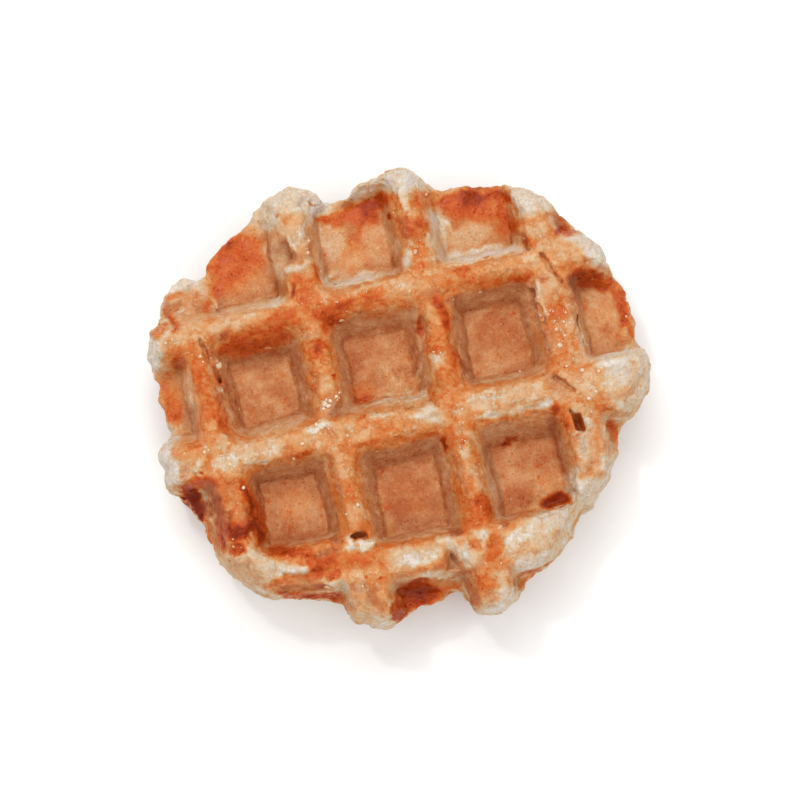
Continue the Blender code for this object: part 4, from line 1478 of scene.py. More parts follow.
# ------------------------------------------------------------------ how browned each point is, and painted light and shade
def crust_tones(co, no):
    """Two numbers a point, how far browned and how matt, then its gloss, and masks for the material. The browning also
    carries painted light and shade: walls facing the key light paler, walls facing away browner, the foot of the walls
    darker, and some patches.
    """
    zn = zones(co, no)
    x, y, z = co.T
    n = len(co)
    big = noise(x, y, z, 9.0, 71)
    mid = noise(x, y, z, 4.0, 72)
    small = noise(x, y, z, 1.8, 73)
    crest, floor, side = zn["crest"], zn["floor"], zn["side"]
    steepness = sstep(0.95, 0.70, np.abs(zn["nz"]))

    def tone(name):
        return np.array(TONES[name])

    def towards(base, name, amount):
        return base + (tone(name) - base) * np.clip(amount, 0.0, 1.0)[:, None]

    # walls: streaked along z, browner under the ridge, matt lower down
    c = np.tile(tone("wall"), (n, 1))
    streak = noise(x, y, z * 0.18, 1.25, 75)
    c = towards(c, "wood", 0.45 * sstep(0.0, 0.6, streak + 0.4 * mid))
    c = towards(c, "straw", 0.50 * sstep(0.1, 0.7, -streak + 0.3 * small))
    under_ridge = np.where(z > MID, sstep(17.0, 21.5, z), sstep(THICK - 17.0, THICK - 21.5, z))
    c = towards(c, "amber", 0.45 * under_ridge * sstep(-0.25, 0.35, big + 0.5 * mid))
    # painted light and shade: walls that face the top of the picture, towards the key light, are painted paler with a
    # crinkled mottle, and those that face away are painted browner, as shade
    c = towards(c, "blush", 0.60 * sstep(0.25, 0.6, zn["ny"]) * sstep(-0.5, 0.3, small + 0.5 * mid))
    c = towards(c, "wood", 0.45 * sstep(0.25, 0.6, -zn["ny"]))
    # pocket floors: matt, evenly tanned, mottled; the corners where the walls meet them are darkened with painted shade
    foot = np.exp(-((np.where(z > MID, z, THICK - z) - 15.9) / 0.9) ** 2) * sstep(0.93, 0.75, np.abs(zn["nz"]))
    c = towards(c, "brown", 0.45 * foot)
    f = np.tile(tone("floor"), (n, 1))
    f = towards(f, "brick", 0.32 * sstep(0.0, 0.55, mid + 0.35 * small))
    f = towards(f, "peach", 0.60 * sstep(0.0, 0.55, -mid + 0.3 * small))
    f = towards(f, "wood", 0.35 * sstep(0.2, 0.7, small - 0.4 * big))
    f = towards(f, "rust", 0.55 * sstep(0.50, 0.80, noise(x, y, z, 1.6, 76)))
    c = c + (f - c) * floor[:, None]
    # ridge tops: glazed gold with caramel at the edges and paler crowns
    g = np.tile(tone("gold"), (n, 1))
    g = towards(g, "honey", 0.50 * sstep(0.0, 0.6, mid + 0.4 * small))
    g = towards(g, "peach", 0.50 * sstep(0.0, 0.5, -mid + 0.5 * big))
    g = towards(g, "butter", 0.50 * sstep(0.30, 0.75, small - 0.5 * mid))
    g = towards(g, "amber", 0.55 * sstep(0.25, 0.7, big + 0.6 * small))
    g = towards(g, "amber", 0.50 * steepness * sstep(-0.3, 0.5, small + big))
    c = c + (g - c) * crest[:, None]
    # the glaze ends in a thin browner line above the walls, here and there
    lip = 4.0 * crest * (1.0 - crest) * sstep(-0.1, 0.5, noise(x, y, z, 3.0, 79))
    c = towards(c, "rust", 0.40 * lip)
    # the rim: pale dough that no iron touched
    r = np.tile(tone("cream"), (n, 1))
    fib = noise(x, y, z * 1.7, 2.2, 77)
    r = towards(r, "straw", 0.60 * sstep(0.0, 0.65, fib + 0.3 * mid))
    r = towards(r, "butter", 0.50 * sstep(0.0, 0.6, big + 0.3 * small))
    r = towards(r, "white", 0.5 * sstep(0.15, 0.6, -fib))
    r = towards(r, "khaki", 0.55 * sstep(0.45, 0.85, noise(x, y, z, 1.7, 78)))
    rim = sstep(0.30, 0.85, side)
    c = c + (r - c) * rim[:, None]
    # the thin web at the rim between ridges was pressed too, and browned most
    thin = np.where(z > MID, sstep(17.5, 14.5, z), sstep(THICK - 17.5, THICK - 14.5, z))
    c = towards(c, "amber", 0.60 * rim * sstep(0.0, 0.8, thin) * sstep(0.25, 0.7, np.abs(zn["nz"])))

    # the underside and the sides low down have their own browning, unseen in the photograph
    low = sstep(12.5, 8.5, z)
    blot = noise(x, y, 30.0, 15.0, 81) + 0.4 * noise(x, y, 30.0, 6.0, 82)
    under = low * (1.0 - rim)
    c = towards(c, "amber", 0.75 * under * sstep(-0.1, 0.55, blot) * (0.5 + 0.5 * crest))
    c = towards(c, "rust", 0.75 * under * sstep(0.35, 0.85, blot + 0.2 * small) * (0.3 + 0.7 * crest))
    c = towards(c, "chestnut", 0.6 * under * sstep(0.65, 1.0, blot + 0.2 * small))
    c = towards(c, "gold", 0.5 * low * rim * sstep(0.1, 0.6, noise(x, y, z * 2.0, 11.0, 83)))
    c = towards(c, "butter", 0.45 * rim * sstep(18.5, 14.0, z) * sstep(-0.5, 0.4, big))

    # the patches, on the upper face and as far down the side as it shows
    gloss = 0.55 * crest * (1.0 - rim)
    fibre = rim.copy()
    for name, ids, amount in patch_masks(co, no):
        c[ids] = towards(c[ids], name, amount)
        brown, matt = TONES[name]
        shine = min(0.9, 1.6 * brown) * (1.0 - matt) if brown > 0.3 else 0.25
        gloss[ids] += (shine - gloss[ids]) * amount
        fibre[ids] += ((0.55 if brown < 0.28 else 0.15) - fibre[ids]) * amount * 0.6
    # inside holes and slits
    for cx, cy, cz, a, b, cc, turn in HOLES:
        p, q = turned(x, y, cx, cy, turn)
        d = np.sqrt((p / (a + 0.25)) ** 2 + (q / (b + 0.25)) ** 2)
        c = towards(c, "amber", 0.95 * sstep(1.2, 0.95, d) * sstep(22.9, 21.8, z) * (z > 14.0))
        c = towards(c, "brown", 0.30 * sstep(1.1, 0.9, d) * sstep(22.0, 20.4, z) * (z > 14.0))
    wx, wy = warped(x, y, z)
    shown = sstep(5.0, 10.0, z) * sstep(-0.55, -0.1, no[:, 2]) * sstep(17.6, 20.4, z)
    for width, depth, path in CRACKS:
        c = towards(c, "brown", min(0.85, 0.7 * depth) * sstep(width * 1.0, width * 0.3, to_line(wx, wy, path)) * shown)
    # the ridges that run up the picture were pressed harder, and browned further
    across = sstep(18.4, 19.4, y) * sstep(24.4, 23.4, y) + sstep(-9.4, -8.4, y) * sstep(-2.2, -3.2, y) + sstep(-36.4, -35.4, y) * sstep(-30.0, -31.0, y)
    c[:, 0] += 0.095 * crest * (1.0 - np.minimum(across, 1.0)) * (1.0 - rim) * sstep(0.66, 0.40, c[:, 0]) * (z > MID)
    c[:, 0] += 0.025 * floor
    c[:, 0] += 0.010 * mid + 0.014 * small
    one = np.ones((n, 1))
    return (np.concatenate([np.clip(c, 0.0, 1.0), np.clip(gloss, 0, 1)[:, None], one], 1),
            np.concatenate([np.stack([np.clip(fibre, 0, 1), floor, crest * (1.0 - rim)], 1), one], 1))


def set_points(mesh, name, values):
    layer = mesh.color_attributes.new(name, 'FLOAT_COLOR', 'POINT')
    layer.data.foreach_set("color", values.astype(np.float32).ravel())


co, no = read_mesh(waffle.data)
tones, masks = crust_tones(co, no)
set_points(waffle.data, "crust_tone", tones)
set_points(waffle.data, "crust_mask", masks)
print("colours", round(time.time() - T0, 1), "s")


# ------------------------------------------------------------------ the crust's material
class Nodes:
    """Short hand for building a node tree."""

    def __init__(self, name):
        self.mat = bpy.data.materials.new(name)
        self.mat.use_nodes = True
        self.tree = self.mat.node_tree
        self.bsdf = self.tree.nodes["Principled BSDF"]
        self.coords = self.tree.nodes.new("ShaderNodeTexCoord").outputs["Object"]

    def link(self, a, b):
        self.tree.links.new(a, b)

    def put(self, socket, value):
        if isinstance(value, bpy.types.NodeSocket):
            self.link(value, socket)
        else:
            socket.default_value = value

    def noise(self, wave_mm, detail=3.0, stretch=(1, 1, 1), rough=0.55, offset=0.0):
        m = self.tree.nodes.new("ShaderNodeMapping")
        self.link(self.coords, m.inputs["Vector"])
        m.inputs["Scale"].default_value = tuple(s / (wave_mm * MM) for s in stretch)
        m.inputs["Location"].default_value = (offset, offset * 1.7, offset * 0.6)
        n = self.tree.nodes.new("ShaderNodeTexNoise")
        self.link(m.outputs["Vector"], n.inputs["Vector"])
        n.inputs["Scale"].default_value = 1.0
        n.inputs["Detail"].default_value = detail
        n.inputs["Roughness"].default_value = rough
        return n.outputs["Fac"]

    def cells(self, wave_mm, feature='F1', randomness=1.0):
        m = self.tree.nodes.new("ShaderNodeMapping")
        self.link(self.coords, m.inputs["Vector"])
        m.inputs["Scale"].default_value = (1 / (wave_mm * MM),) * 3
        n = self.tree.nodes.new("ShaderNodeTexVoronoi")
        n.feature = feature
        self.link(m.outputs["Vector"], n.inputs["Vector"])
        n.inputs["Scale"].default_value = 1.0
        n.inputs["Randomness"].default_value = randomness
        return n.outputs["Distance"]

    def math(self, op, a, b=0.0, c=0.0, clamp=False):
        n = self.tree.nodes.new("ShaderNodeMath")
        n.operation = op
        n.use_clamp = clamp
        self.put(n.inputs[0], a)
        self.put(n.inputs[1], b)
        self.put(n.inputs[2], c)
        return n.outputs[0]

    def ramp(self, value, lo, hi, out_lo=0.0, out_hi=1.0, kind='SMOOTHSTEP'):
        n = self.tree.nodes.new("ShaderNodeMapRange")
        n.interpolation_type = kind
        self.put(n.inputs["Value"], value)
        n.inputs["From Min"].default_value = lo
        n.inputs["From Max"].default_value = hi
        n.inputs["To Min"].default_value = out_lo
        n.inputs["To Max"].default_value = out_hi
        return n.outputs["Result"]

    def mix(self, factor, a, b, kind='MIX'):
        n = self.tree.nodes.new("ShaderNodeMix")
        n.data_type = 'RGBA'
        n.blend_type = kind
        self.put(n.inputs[0], factor)
        self.put(n.inputs[6], a)
        self.put(n.inputs[7], b)
        return n.outputs[2]

    def attribute(self, name):
        n = self.tree.nodes.new("ShaderNodeVertexColor")
        n.layer_name = name
        return n

    def bump(self, height, strength, distance_mm, normal=None):
        n = self.tree.nodes.new("ShaderNodeBump")
        self.put(n.inputs["Strength"], strength)
        n.inputs["Distance"].default_value = distance_mm * MM
        self.put(n.inputs["Height"], height)
        if normal is not None:
            self.link(normal, n.inputs["Normal"])
        return n.outputs["Normal"]


    def scale(self, value, stops):
        n = self.tree.nodes.new("ShaderNodeValToRGB")
        e = n.color_ramp.elements
        for k, (at, rgb) in enumerate(stops):
            item = e[k] if k < 2 else e.new(at)
            item.position = at
            item.color = tuple(float(v) for v in linear(rgb)) + (1.0,)
        self.put(n.inputs["Fac"], value)
        return n.outputs["Color"]

    def split(self, name):
        n = self.tree.nodes.new("ShaderNodeSeparateColor")
        self.link(self.attribute(name).outputs["Color"], n.inputs["Color"])
        return n.outputs["Red"], n.outputs["Green"], n.outputs["Blue"]


def crust_material():
    t = Nodes("crust")
    # crust_tone holds how far browned, which on the walls and in some patches also carries painted light and shade,
    # then how matt and how glossy
    browning_and_painted_light, matt, gloss = t.split("crust_tone")
    fibre, floor, crest = t.split("crust_mask")

    grain = t.noise(0.50, 3.0, offset=1.3)
    cloud = t.noise(2.6, 6.0, rough=0.62, offset=4.1)
    wisp = t.noise(1.1, 5.0, rough=0.6, offset=6.3)
    thread = t.noise(1.3, 4.0, stretch=(0.85, 0.85, 1.3), rough=0.60, offset=7.7)
    pits = t.noise(0.85, 2.0, offset=12.6)
    pricks = t.noise(0.48, 1.0, offset=14.4)
    flaky = t.noise(1.6, 6.0, stretch=(1.0, 1.0, 1.7), rough=0.66, offset=2.9)
    specks = t.noise(0.9, 2.0, offset=9.2)
    # skin that flaked: its edges are crisp and browner just outside
    skin = t.noise(3.2, 8.0, rough=0.68, offset=11.3)
    flake = t.ramp(skin, 0.505, 0.535)
    shy = t.math('MULTIPLY', t.ramp(skin, 0.460, 0.500), t.math('SUBTRACT', 1.0, flake))

    # browning comes and goes in clouds with crisp edges where the glaze ends
    walls = t.math('SUBTRACT', 1.0, t.math('MAXIMUM', floor, crest), clamp=True)
    # (less so where it is already dark)
    calm = t.ramp(browning_and_painted_light, 0.55, 0.90, 1.0, 0.45)
    b = t.math('MULTIPLY_ADD', t.ramp(cloud, 0.45, 0.55, -0.5, 0.5),
               t.math('MULTIPLY', calm, t.math('MULTIPLY_ADD', crest, 0.030, 0.030)), browning_and_painted_light)
    b = t.math('MULTIPLY_ADD', t.math('SUBTRACT', cloud, 0.5), t.math('MULTIPLY', calm, 0.16), b)
    b = t.math('MULTIPLY_ADD', t.math('SUBTRACT', wisp, 0.5), t.math('MULTIPLY', calm, 0.26), b)
    # pale flecks everywhere, more on the ridge tops, stand partly for sugar residue and partly for painted glints; a
    # few darker flecks on the ridge tops
    fleck = t.noise(0.75, 2.0, offset=16.8)
    b = t.math('MULTIPLY_ADD', t.ramp(fleck, 0.635, 0.70), t.math('MULTIPLY', calm, t.math('MULTIPLY_ADD', crest, -0.07, -0.10)), b)
    b = t.math('MULTIPLY_ADD', t.ramp(fleck, 0.365, 0.30), t.math('MULTIPLY', crest, 0.08), b)
    skinned = t.math('MULTIPLY', calm, t.math('MULTIPLY_ADD', fibre, 0.4, crest))
    b = t.math('MULTIPLY_ADD', flake, t.math('MULTIPLY', skinned, -0.07), b)
    b = t.math('MULTIPLY_ADD', shy, t.math('MULTIPLY', skinned, 0.055), b)
    b = t.math('MULTIPLY_ADD', t.math('SUBTRACT', thread, 0.5), t.math('MULTIPLY', walls, 0.36), b)
    b = t.math('MULTIPLY_ADD', t.math('SUBTRACT', flaky, 0.5), t.math('MULTIPLY', fibre, 0.34), b)
    b = t.math('MULTIPLY_ADD', t.ramp(flaky, 0.60, 0.70), t.math('MULTIPLY', fibre, 0.08), b)
    b = t.math('MULTIPLY_ADD', t.ramp(pits, 0.66, 0.72), t.math('MULTIPLY', walls, 0.22), b)
    tight = t.math('SUBTRACT', 1.0, crest, clamp=True)
    b = t.math('MULTIPLY_ADD', t.ramp(pricks, 0.64, 0.72), t.math('MULTIPLY', tight, 0.15), b)
    b = t.math('MULTIPLY_ADD', t.ramp(specks, 0.62, 0.76), t.math('MULTIPLY_ADD', floor, 0.11, 0.04), b)
    b = t.math('ADD', b, 0.0, clamp=True)
    c = t.mix(matt, t.scale(b, GOLD), t.scale(b, DULL))
    light = t.math('MULTIPLY_ADD', t.math('SUBTRACT', grain, 0.5), t.math('MULTIPLY_ADD', crest, -0.34, 0.64), 1.0)
    both = t.tree.nodes.new("ShaderNodeCombineColor")
    for s in both.inputs:
        t.link(light, s)
    t.link(t.mix(1.0, c, both.outputs[0], 'MULTIPLY'), t.bsdf.inputs["Base Color"])

    rough = t.math('MULTIPLY_ADD', gloss, -0.44, 0.64)
    rough = t.math('ADD', rough, t.ramp(grain, 0.3, 0.7, -0.06, 0.08, 'LINEAR'))
    t.link(t.math('ADD', rough, t.ramp(cloud, 0.35, 0.65, 0.06, -0.06, 'LINEAR'), clamp=True),
           t.bsdf.inputs["Roughness"])

    n = t.bump(flaky, t.math('ADD', t.math('MULTIPLY_ADD', fibre, 0.60, 0.10), t.math('MULTIPLY', walls, 0.25)), 0.60)
    n = t.bump(cloud, t.math('MULTIPLY_ADD', crest, 0.18, 0.12), 0.50, n)
    n = t.bump(wisp, t.math('MULTIPLY_ADD', crest, 0.25, 0.05), 0.30, n)
    n = t.bump(flake, t.math('MULTIPLY_ADD', crest, 0.45, t.math('MULTIPLY', fibre, 0.25)), 0.16, n)
    n = t.bump(thread, t.math('MULTIPLY', walls, 0.40), 0.35, n)
    n = t.bump(pricks, t.math('MULTIPLY', tight, -0.22), 0.20, n)
    n = t.bump(grain, t.math('MULTIPLY_ADD', gloss, -0.26, 0.35), 0.20, n)
    t.link(n, t.bsdf.inputs["Normal"])
    t.bsdf.inputs["Specular IOR Level"].default_value = 0.13
    t.bsdf.inputs["Subsurface Weight"].default_value = 0.15
    t.bsdf.inputs["Subsurface Radius"].default_value = (1.0, 0.45, 0.22)
    t.bsdf.inputs["Subsurface Scale"].default_value = 1.4 * MM
    return t.mat


waffle.data.materials.append(crust_material())
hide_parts("waffle")
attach(waffle, "root")


# ------------------------------------------------------------------ sugar grains and crumbs
from mathutils.bvhtree import BVHTree


def surface():
    mesh = waffle.data
    verts = [v.co for v in mesh.vertices]
    polys = [tuple(p.vertices) for p in mesh.polygons]
    return BVHTree.FromPolygons(verts, polys)


def ball(level):
    bm = bmesh.new()
    bmesh.ops.create_icosphere(bm, subdivisions=level, radius=1.0)
    bm.verts.ensure_lookup_table()
    co = np.array([v.co[:] for v in bm.verts])
    faces = np.array([[v.index for v in f.verts] for f in bm.faces])
    bm.free()
    return co, faces


def spin(rng):
    q = rng.normal(size=4)
    q /= np.linalg.norm(q)
    w, x, y, z = q
    return np.array([[1 - 2 * (y * y + z * z), 2 * (x * y - z * w), 2 * (x * z + y * w)],
                     [2 * (x * y + z * w), 1 - 2 * (x * x + z * z), 2 * (y * z - x * w)],
                     [2 * (x * z - y * w), 2 * (y * z + x * w), 1 - 2 * (x * x + y * y)]])


def crystal(rng, radius, level):
    """A grain of pearl sugar: a round lump with some flat broken faces."""
    co, faces = ball(level)
    co = co * (1.0 + 0.16 * noise(co[:, 0], co[:, 1], co[:, 2], 0.9, int(rng.integers(1, 9999))))[:, None]
    for _ in range(7):
        n = rng.normal(size=3)
        n /= np.linalg.norm(n)
        cut = rng.uniform(0.70, 0.95)
        over = np.maximum(co @ n - cut, 0.0)
        co = co - over[:, None] * n
    co = co * rng.uniform(0.75, 1.15, 3)
    return (co @ spin(rng).T) * radius, faces


def shred(rng, length, width, thick):
    """A thin curled flake of crust."""
    nu, nv = 9, 5
    u, v = np.meshgrid(np.linspace(-1, 1, nu), np.linspace(-1, 1, nv), indexing='ij')
    seed = int(rng.integers(1, 9999))
    w = width * (1.0 - 0.55 * np.abs(u) ** 2.2) * (1.0 + 0.35 * noise(u, v * 0 + seed, u * 0, 0.6, seed))
    x = length * u * (1.0 + 0.12 * noise(u * 0, v, v * 0 + seed, 0.7, seed + 1))
    y = w * v
    bend = rng.uniform(0.10, 0.35)
    z = bend * (x * x) / max(length, 0.1) + 0.30 * v * v * width + 0.12 * width * noise(x, y, x * 0, width, seed + 2)
    t = thick * (1.0 - 0.7 * np.maximum(np.abs(u), np.abs(v)) ** 3)
    top = np.stack([x, y, z + t / 2], -1).reshape(-1, 3)
    low = np.stack([x, y, z - t / 2], -1).reshape(-1, 3)
    co = np.concatenate([top, low])
    faces = []
    n = nu * nv
    at = lambda i, j: i * nv + j
    for i in range(nu - 1):
        for j in range(nv - 1):
            a, b, c, d = at(i, j), at(i + 1, j), at(i + 1, j + 1), at(i, j + 1)
            faces += [(a, b, c), (a, c, d), (n + a, n + c, n + b), (n + a, n + d, n + c)]
    rim = ([at(i, 0) for i in range(nu)] + [at(nu - 1, j) for j in range(1, nv)]
           + [at(i, nv - 1) for i in range(nu - 2, -1, -1)] + [at(0, j) for j in range(nv - 2, 0, -1)])
    for a, b in zip(rim, rim[1:] + rim[:1]):
        faces += [(a, n + a, n + b), (a, n + b, b)]
    return co, np.array(faces)


def joined(name, parts):
    cos, faces, start = [], [], 0
    for co, f in parts:
        cos.append(co)
        faces.append(f + start)
        start += len(co)
    return make_mesh(name, np.concatenate(cos), np.concatenate(faces))


TREE = surface()
EYE = np.array([-14.6, -66.7, 608.0])


def land(px, py):
    """The point of the upper face that shows at px, py, and the way it faces."""
    to = np.array([px, py, THICK]) - EYE
    hit = TREE.ray_cast(Vector(EYE * MM), Vector(to).normalized())
    if hit[0] is None:
        return None
    return np.array(hit[0]) / MM, np.array(hit[1])


def frame_on(normal, rng):
    n = normal / np.linalg.norm(normal)
    a = np.cross(n, rng.normal(size=3))
    a /= np.linalg.norm(a)
    return np.stack([a, np.cross(n, a), n], 1)


# the larger grains, from the photograph: x, y, radius in mm
GRAINS = """
-15.9 .8 .85 -15.2 .2 .6 -14.7 1.2 .5 -16.3 -.1 .45 -15.4 1.5 .4 -13.3 1.8 .42 -12.6 2.4 .36 -12.9 1.4 .3
33.4 2.6 .62 -35.6 -12.6 .55 -12.3 34.3 .42 -13 32 .45 36.7 -3.3 .52 36.8 -9.2 .48 40 -4.2 .42 38.5 -8.2 .42
33.8 -1.8 .34 36.8 -12 .28 33.4 6 .46 34.8 4.4 .4 36 9 .3 33 10 .3 36.3 6.7 .3 35.2 7.2 .3 32.5 9.3 .3 34.3 5.6 .28
-41.3 -2.8 .45 -41.8 -3.8 .42 -40.9 -3.5 .35 -37.2 -7.3 .42 -36.4 -7.9 .36 -38.3 -6.5 .36 -37.8 -7.9 .3 -38.6 -5.2 .3
-22 -6.2 .48 -24.3 -8.8 .34 -12.7 -6.5 .36 -18.4 -3 .5 -17.5 -3.8 .45 -16.9 -2.4 .42 -19.2 -4 .36 -16.2 -4.3 .3
-13.6 -20.7 .42 -16.2 -22.1 .26 -39.4 -16.3 .24 -39.7 -22.3 .24 12.3 -38.3 .3 -38.7 15.6 .36 -45 19.7 .36
-43.6 20.2 .3 -42.6 19.9 .26 13.2 38.8 .34 4 21.4 .38 6 36.5 .24 -16 -37 .3 24.3 -1 .36 47.9 5.6 .28 -38.4 14.4 .26
8 6.6 .3 9.3 6.2 .26 11.2 -6 .28 9.8 -10.3 .24 10.8 -8.8 .22 -45.8 -3.2 .26 -35.8 7.8 .3 31.2 13.2 .28 30.9 9.4 .26
"""
rng = np.random.default_rng(17)
values = [float(v) for v in GRAINS.split()]
spots = [tuple(values[i:i + 3]) for i in range(0, len(values), 3)]
# finer sugar along the glazed ridges, thickest on the fourth ridge and round the left crossing
clouds = [(34.5, 6.0, 2.2, 6.5, 26), (-38.5, -6.0, 3.0, 2.4, 14), (-43.5, 19.5, 2.4, 2.0, 10), (-14.5, 1.0, 2.0, 2.4, 10),
          (-17.5, -3.5, 2.2, 1.4, 8), (38.0, -6.5, 3.5, 4.0, 12), (10.0, -12.0, 2.0, 6.0, 10), (-13.0, 33.0, 1.0, 3.0, 6),
          (0.0, -5.5, 30.0, 1.8, 16), (-5.0, 21.5, 30.0, 1.6, 14), (-14.5, -15.0, 1.6, 8.0, 8), (-40.0, 27.5, 3.0, 1.2, 8),
          (9.0, 30.0, 2.0, 8.0, 8), (20.0, 24.5, 9.0, 0.8, 8), (-6.0, 25.0, 5.0, 0.8, 6)]
for cx, cy, sx, sy, count in clouds:
    for _ in range(count):
        spots.append((cx + rng.normal() * sx * 0.5, cy + rng.normal() * sy * 0.5, rng.uniform(0.10, 0.22)))
parts = []
for px, py, r in spots:
    found = land(px, py)
    if found is None:
        continue
    p, n = found
    if r < 0.23 and p[2] < 19.5:
        continue
    shape, faces = crystal(rng, 0.88 * r, 3 if r > 0.3 else 2)
    parts.append((shape + p + n * r * 0.10, faces))
# a few on the underside, where the waffle picked them up
for _ in range(44):
    px, py = rng.uniform(-44, 44), rng.uniform(-38, 38)
    hit = TREE.ray_cast(Vector((px * MM, py * MM, -0.05)), Vector((0, 0, 1)))
    if hit[0] is None or hit[0].z / MM < 1.3:
        continue
    r = rng.uniform(0.14, 0.40)
    shape, faces = crystal(rng, r, 2)
    parts.append((shape + np.array(hit[0]) / MM + np.array(hit[1]) * r * 0.3, faces))
sugar = joined("sugar_grains", parts)
print("sugar", len(parts), "grains", len(sugar.data.polygons), "triangles")

# thin crumbs of crust: x, y, half length, half width, turn in degrees
CRUMBS = [
    (-9.0, 17.0, 0.75, 0.35, 20), (-24.8, 14.6, 1.1, 0.3, -20), (14.0, 16.4, 0.5, 0.25, 0), (19.8, 16.8, 0.5, 0.25, 25),
    (6.3, 37.2, 0.6, 0.3, 0), (-33.2, 3.4, 0.5, 0.2, 60), (-41.6, 26.2, 0.8, 0.3, 20), (-40.2, 25.0, 0.7, 0.3, 0),
    (8.6, 27.6, 0.7, 0.3, 70), (7.2, 25.2, 0.7, 0.3, 40), (22.5, 23.4, 0.9, 0.25, -5), (14.5, 24.2, 0.8, 0.25, 10),
    (-6.5, 24.9, 0.9, 0.3, 5), (-8.8, 24.4, 0.6, 0.3, -20), (4.8, 19.6, 0.8, 0.25, -40), (-21.8, 24.2, 0.9, 0.3, 5),
    (17.0, -4.3, 1.0, 0.35, -15), (19.0, -4.6, 0.7, 0.3, 0), (0.5, -3.6, 0.8, 0.3, 5), (13.6, -31.2, 0.8, 0.25, 50),
    (35.6, -15.0, 0.8, 0.3, 80), (33.0, -15.9, 0.7, 0.3, 10), (-15.6, -28.6, 0.8, 0.3, 0), (-12.6, -28.4, 0.7, 0.3, 30),
    (11.9, -22.6, 0.5, 0.2, 80), (12.8, -26.0, 0.6, 0.2, 80), (-36.0, -22.0, 0.7, 0.3, 60), (-23.0, -35.6, 0.8, 0.25, -15),
    (-41.0, -4.6, 0.6, 0.25, 80), (30.7, 12.6, 0.7, 0.3, 80), (31.2, 8.6, 0.7, 0.3, 70), (37.2, 12.5, 0.6, 0.25, 60),
    (37.0, 4.5, 0.6, 0.25, 85), (-17.4, 40.8, 0.7, 0.3, 40), (-10.4, 41.6, 0.8, 0.3, -30), (-44.0, -6.9, 0.8, 0.3, 60),
]
parts = []
for px, py, a, b, turn in CRUMBS:
    found = land(px, py)
    if found is None:
        continue
    p, n = found
    shape, faces = shred(rng, 0.75 * a, 1.15 * b, 0.14)
    c, s = math.cos(math.radians(turn)), math.sin(math.radians(turn))
    n = n / np.linalg.norm(n)
    e = np.array([c, s, 0.0])
    e = e - n * (e @ n)
    e /= np.linalg.norm(e)
    axes = np.stack([e, np.cross(n, e), n], 1)
    parts.append((shape @ axes.T + p + n * 0.05, faces))
for _ in range(150):
    px, py = rng.uniform(-47, 47), rng.uniform(-44, 42)
    found = land(px, py)
    if found is None or (found[0][2] < 20.5 and rng.random() < 0.7) or found[0][2] < 5:
        continue
    p, n = found
    shape, faces = shred(rng, rng.uniform(0.16, 0.34), rng.uniform(0.10, 0.22), 0.09)
    parts.append((shape @ frame_on(n, rng).T + p, faces))
crumbs = joined("crust_crumbs", parts)
print("crumbs", len(parts), len(crumbs.data.polygons), "triangles")


def sugar_material():
    t = Nodes("pearl_sugar")
    a, b = t.noise(0.45, 3.0, offset=3.0), t.noise(0.16, 2.0, offset=5.0)
    c = t.mix(t.ramp(a, 0.35, 0.65), (0.66, 0.44, 0.27, 1), (0.80, 0.66, 0.52, 1))
    t.link(t.mix(t.ramp(b, 0.60, 0.75, 0.0, 0.35), c, (0.62, 0.36, 0.18, 1)), t.bsdf.inputs["Base Color"])
    t.link(t.ramp(a, 0.3, 0.7, 0.16, 0.42, 'LINEAR'), t.bsdf.inputs["Roughness"])
    t.link(t.bump(b, 0.4, 0.10), t.bsdf.inputs["Normal"])
    t.bsdf.inputs["Specular IOR Level"].default_value = 0.55
    t.bsdf.inputs["Subsurface Weight"].default_value = 0.5
    t.bsdf.inputs["Subsurface Radius"].default_value = (1.0, 0.8, 0.6)
    t.bsdf.inputs["Subsurface Scale"].default_value = 0.5 * MM
    return t.mat


def crumb_material():
    t = Nodes("crust_crumb")
    a, b = t.noise(2.4, 3.0, offset=3.0), t.noise(0.3, 2.0, offset=5.0)
    fac = t.math('MULTIPLY_ADD', t.math('SUBTRACT', b, 0.5), 0.5, t.ramp(a, 0.35, 0.68, 0.22, 0.56), clamp=True)
    t.link(t.scale(fac, GOLD), t.bsdf.inputs["Base Color"])
    t.link(t.ramp(b, 0.3, 0.7, 0.38, 0.66, 'LINEAR'), t.bsdf.inputs["Roughness"])
    t.link(t.bump(b, 0.4, 0.10), t.bsdf.inputs["Normal"])
    t.bsdf.inputs["Specular IOR Level"].default_value = 0.35
    t.bsdf.inputs["Subsurface Weight"].default_value = 0.3
    t.bsdf.inputs["Subsurface Radius"].default_value = (1.0, 0.5, 0.3)
    t.bsdf.inputs["Subsurface Scale"].default_value = 0.6 * MM
    return t.mat


sugar.data.materials.append(sugar_material())
crumbs.data.materials.append(crumb_material())
for piece in (sugar, crumbs):
    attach(piece, "root")


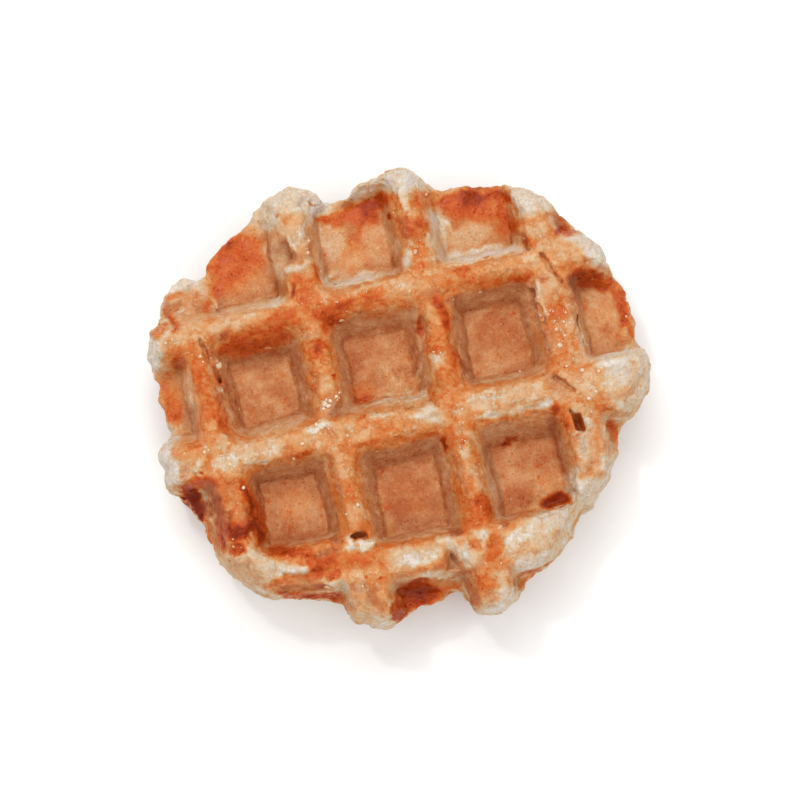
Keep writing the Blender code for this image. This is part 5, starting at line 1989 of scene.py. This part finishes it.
# ------------------------------------------------------------------ floor, light, camera
def make_floor():
    bm = bmesh.new()
    s = 1.5
    v = [bm.verts.new(c) for c in ((-s, -s, 0), (s, -s, 0), (s, s, 0), (-s, s, 0))]
    bm.faces.new(v)
    mesh = bpy.data.meshes.new("floor")
    bm.to_mesh(mesh)
    bm.free()
    obj = bpy.data.objects.new("floor", mesh)
    bpy.context.scene.collection.objects.link(obj)
    m = bpy.data.materials.new("floor_white")
    m.use_nodes = True
    b = m.node_tree.nodes["Principled BSDF"]
    b.inputs["Base Color"].default_value = (0.97, 0.97, 0.97, 1)
    b.inputs["Roughness"].default_value = 0.9
    mesh.materials.append(m)
    obj.location.z = -0.0001
    return obj


make_floor()

TILT, TURN, DIST = math.radians(6.5), math.radians(-12.0), 0.600
turn = Matrix.Rotation(TURN, 3, 'Z') @ Matrix.Rotation(TILT, 3, 'X')
aim = Vector((-0.00049, -0.00025, 0.012))
cam_data = bpy.data.cameras.new("camera")
cam = bpy.data.objects.new("camera", cam_data)
bpy.context.scene.collection.objects.link(cam)
cam.location = aim + turn @ Vector((0, 0, DIST))
cam.rotation_euler = turn.to_euler()
cam_data.sensor_width = 36.0
cam_data.lens = 36.0 * (4.82 * 600.0) / 800.0
cam_data.clip_start = 0.01
bpy.context.scene.camera = cam


def area_light(name, direction, distance, size, power, colour=(1, 1, 1)):
    d = bpy.data.lights.new(name, 'AREA')
    d.shape = 'SQUARE'
    d.size = size
    d.energy = power
    d.color = colour
    o = bpy.data.objects.new(name, d)
    bpy.context.scene.collection.objects.link(o)
    v = Vector(direction).normalized()
    o.location = Vector((0, 0, 0.01)) + v * distance
    o.rotation_euler = v.to_track_quat('Z', 'Y').to_euler()
    return o


# image axes on the table: up the picture and to its right
UP = turn @ Vector((0, 1, 0)); UP.z = 0; UP.normalize()
RIGHT = turn @ Vector((1, 0, 0)); RIGHT.z = 0; RIGHT.normalize()
area_light("key", UP * 0.62 + RIGHT * -0.12 + Vector((0, 0, 1.0)), 0.95, 0.55, 3.0)
area_light("fill", UP * -0.45 + RIGHT * 0.20 + Vector((0, 0, 1.0)), 1.0, 1.1, 2.8)
area_light("spark", UP * 0.42 + RIGHT * -0.34 + Vector((0, 0, 1.0)), 0.90, 0.06, 0.9)
world = bpy.data.worlds.new("studio")
world.use_nodes = True
world.node_tree.nodes["Background"].inputs["Color"].default_value = (1, 1, 1, 1)
world.node_tree.nodes["Background"].inputs["Strength"].default_value = 0.74
bpy.context.scene.world = world
bpy.context.scene.view_settings.view_transform = 'Standard'
bpy.context.scene.view_settings.look = 'None'

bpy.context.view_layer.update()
print("scene took", round(time.time() - T0, 1), "s")
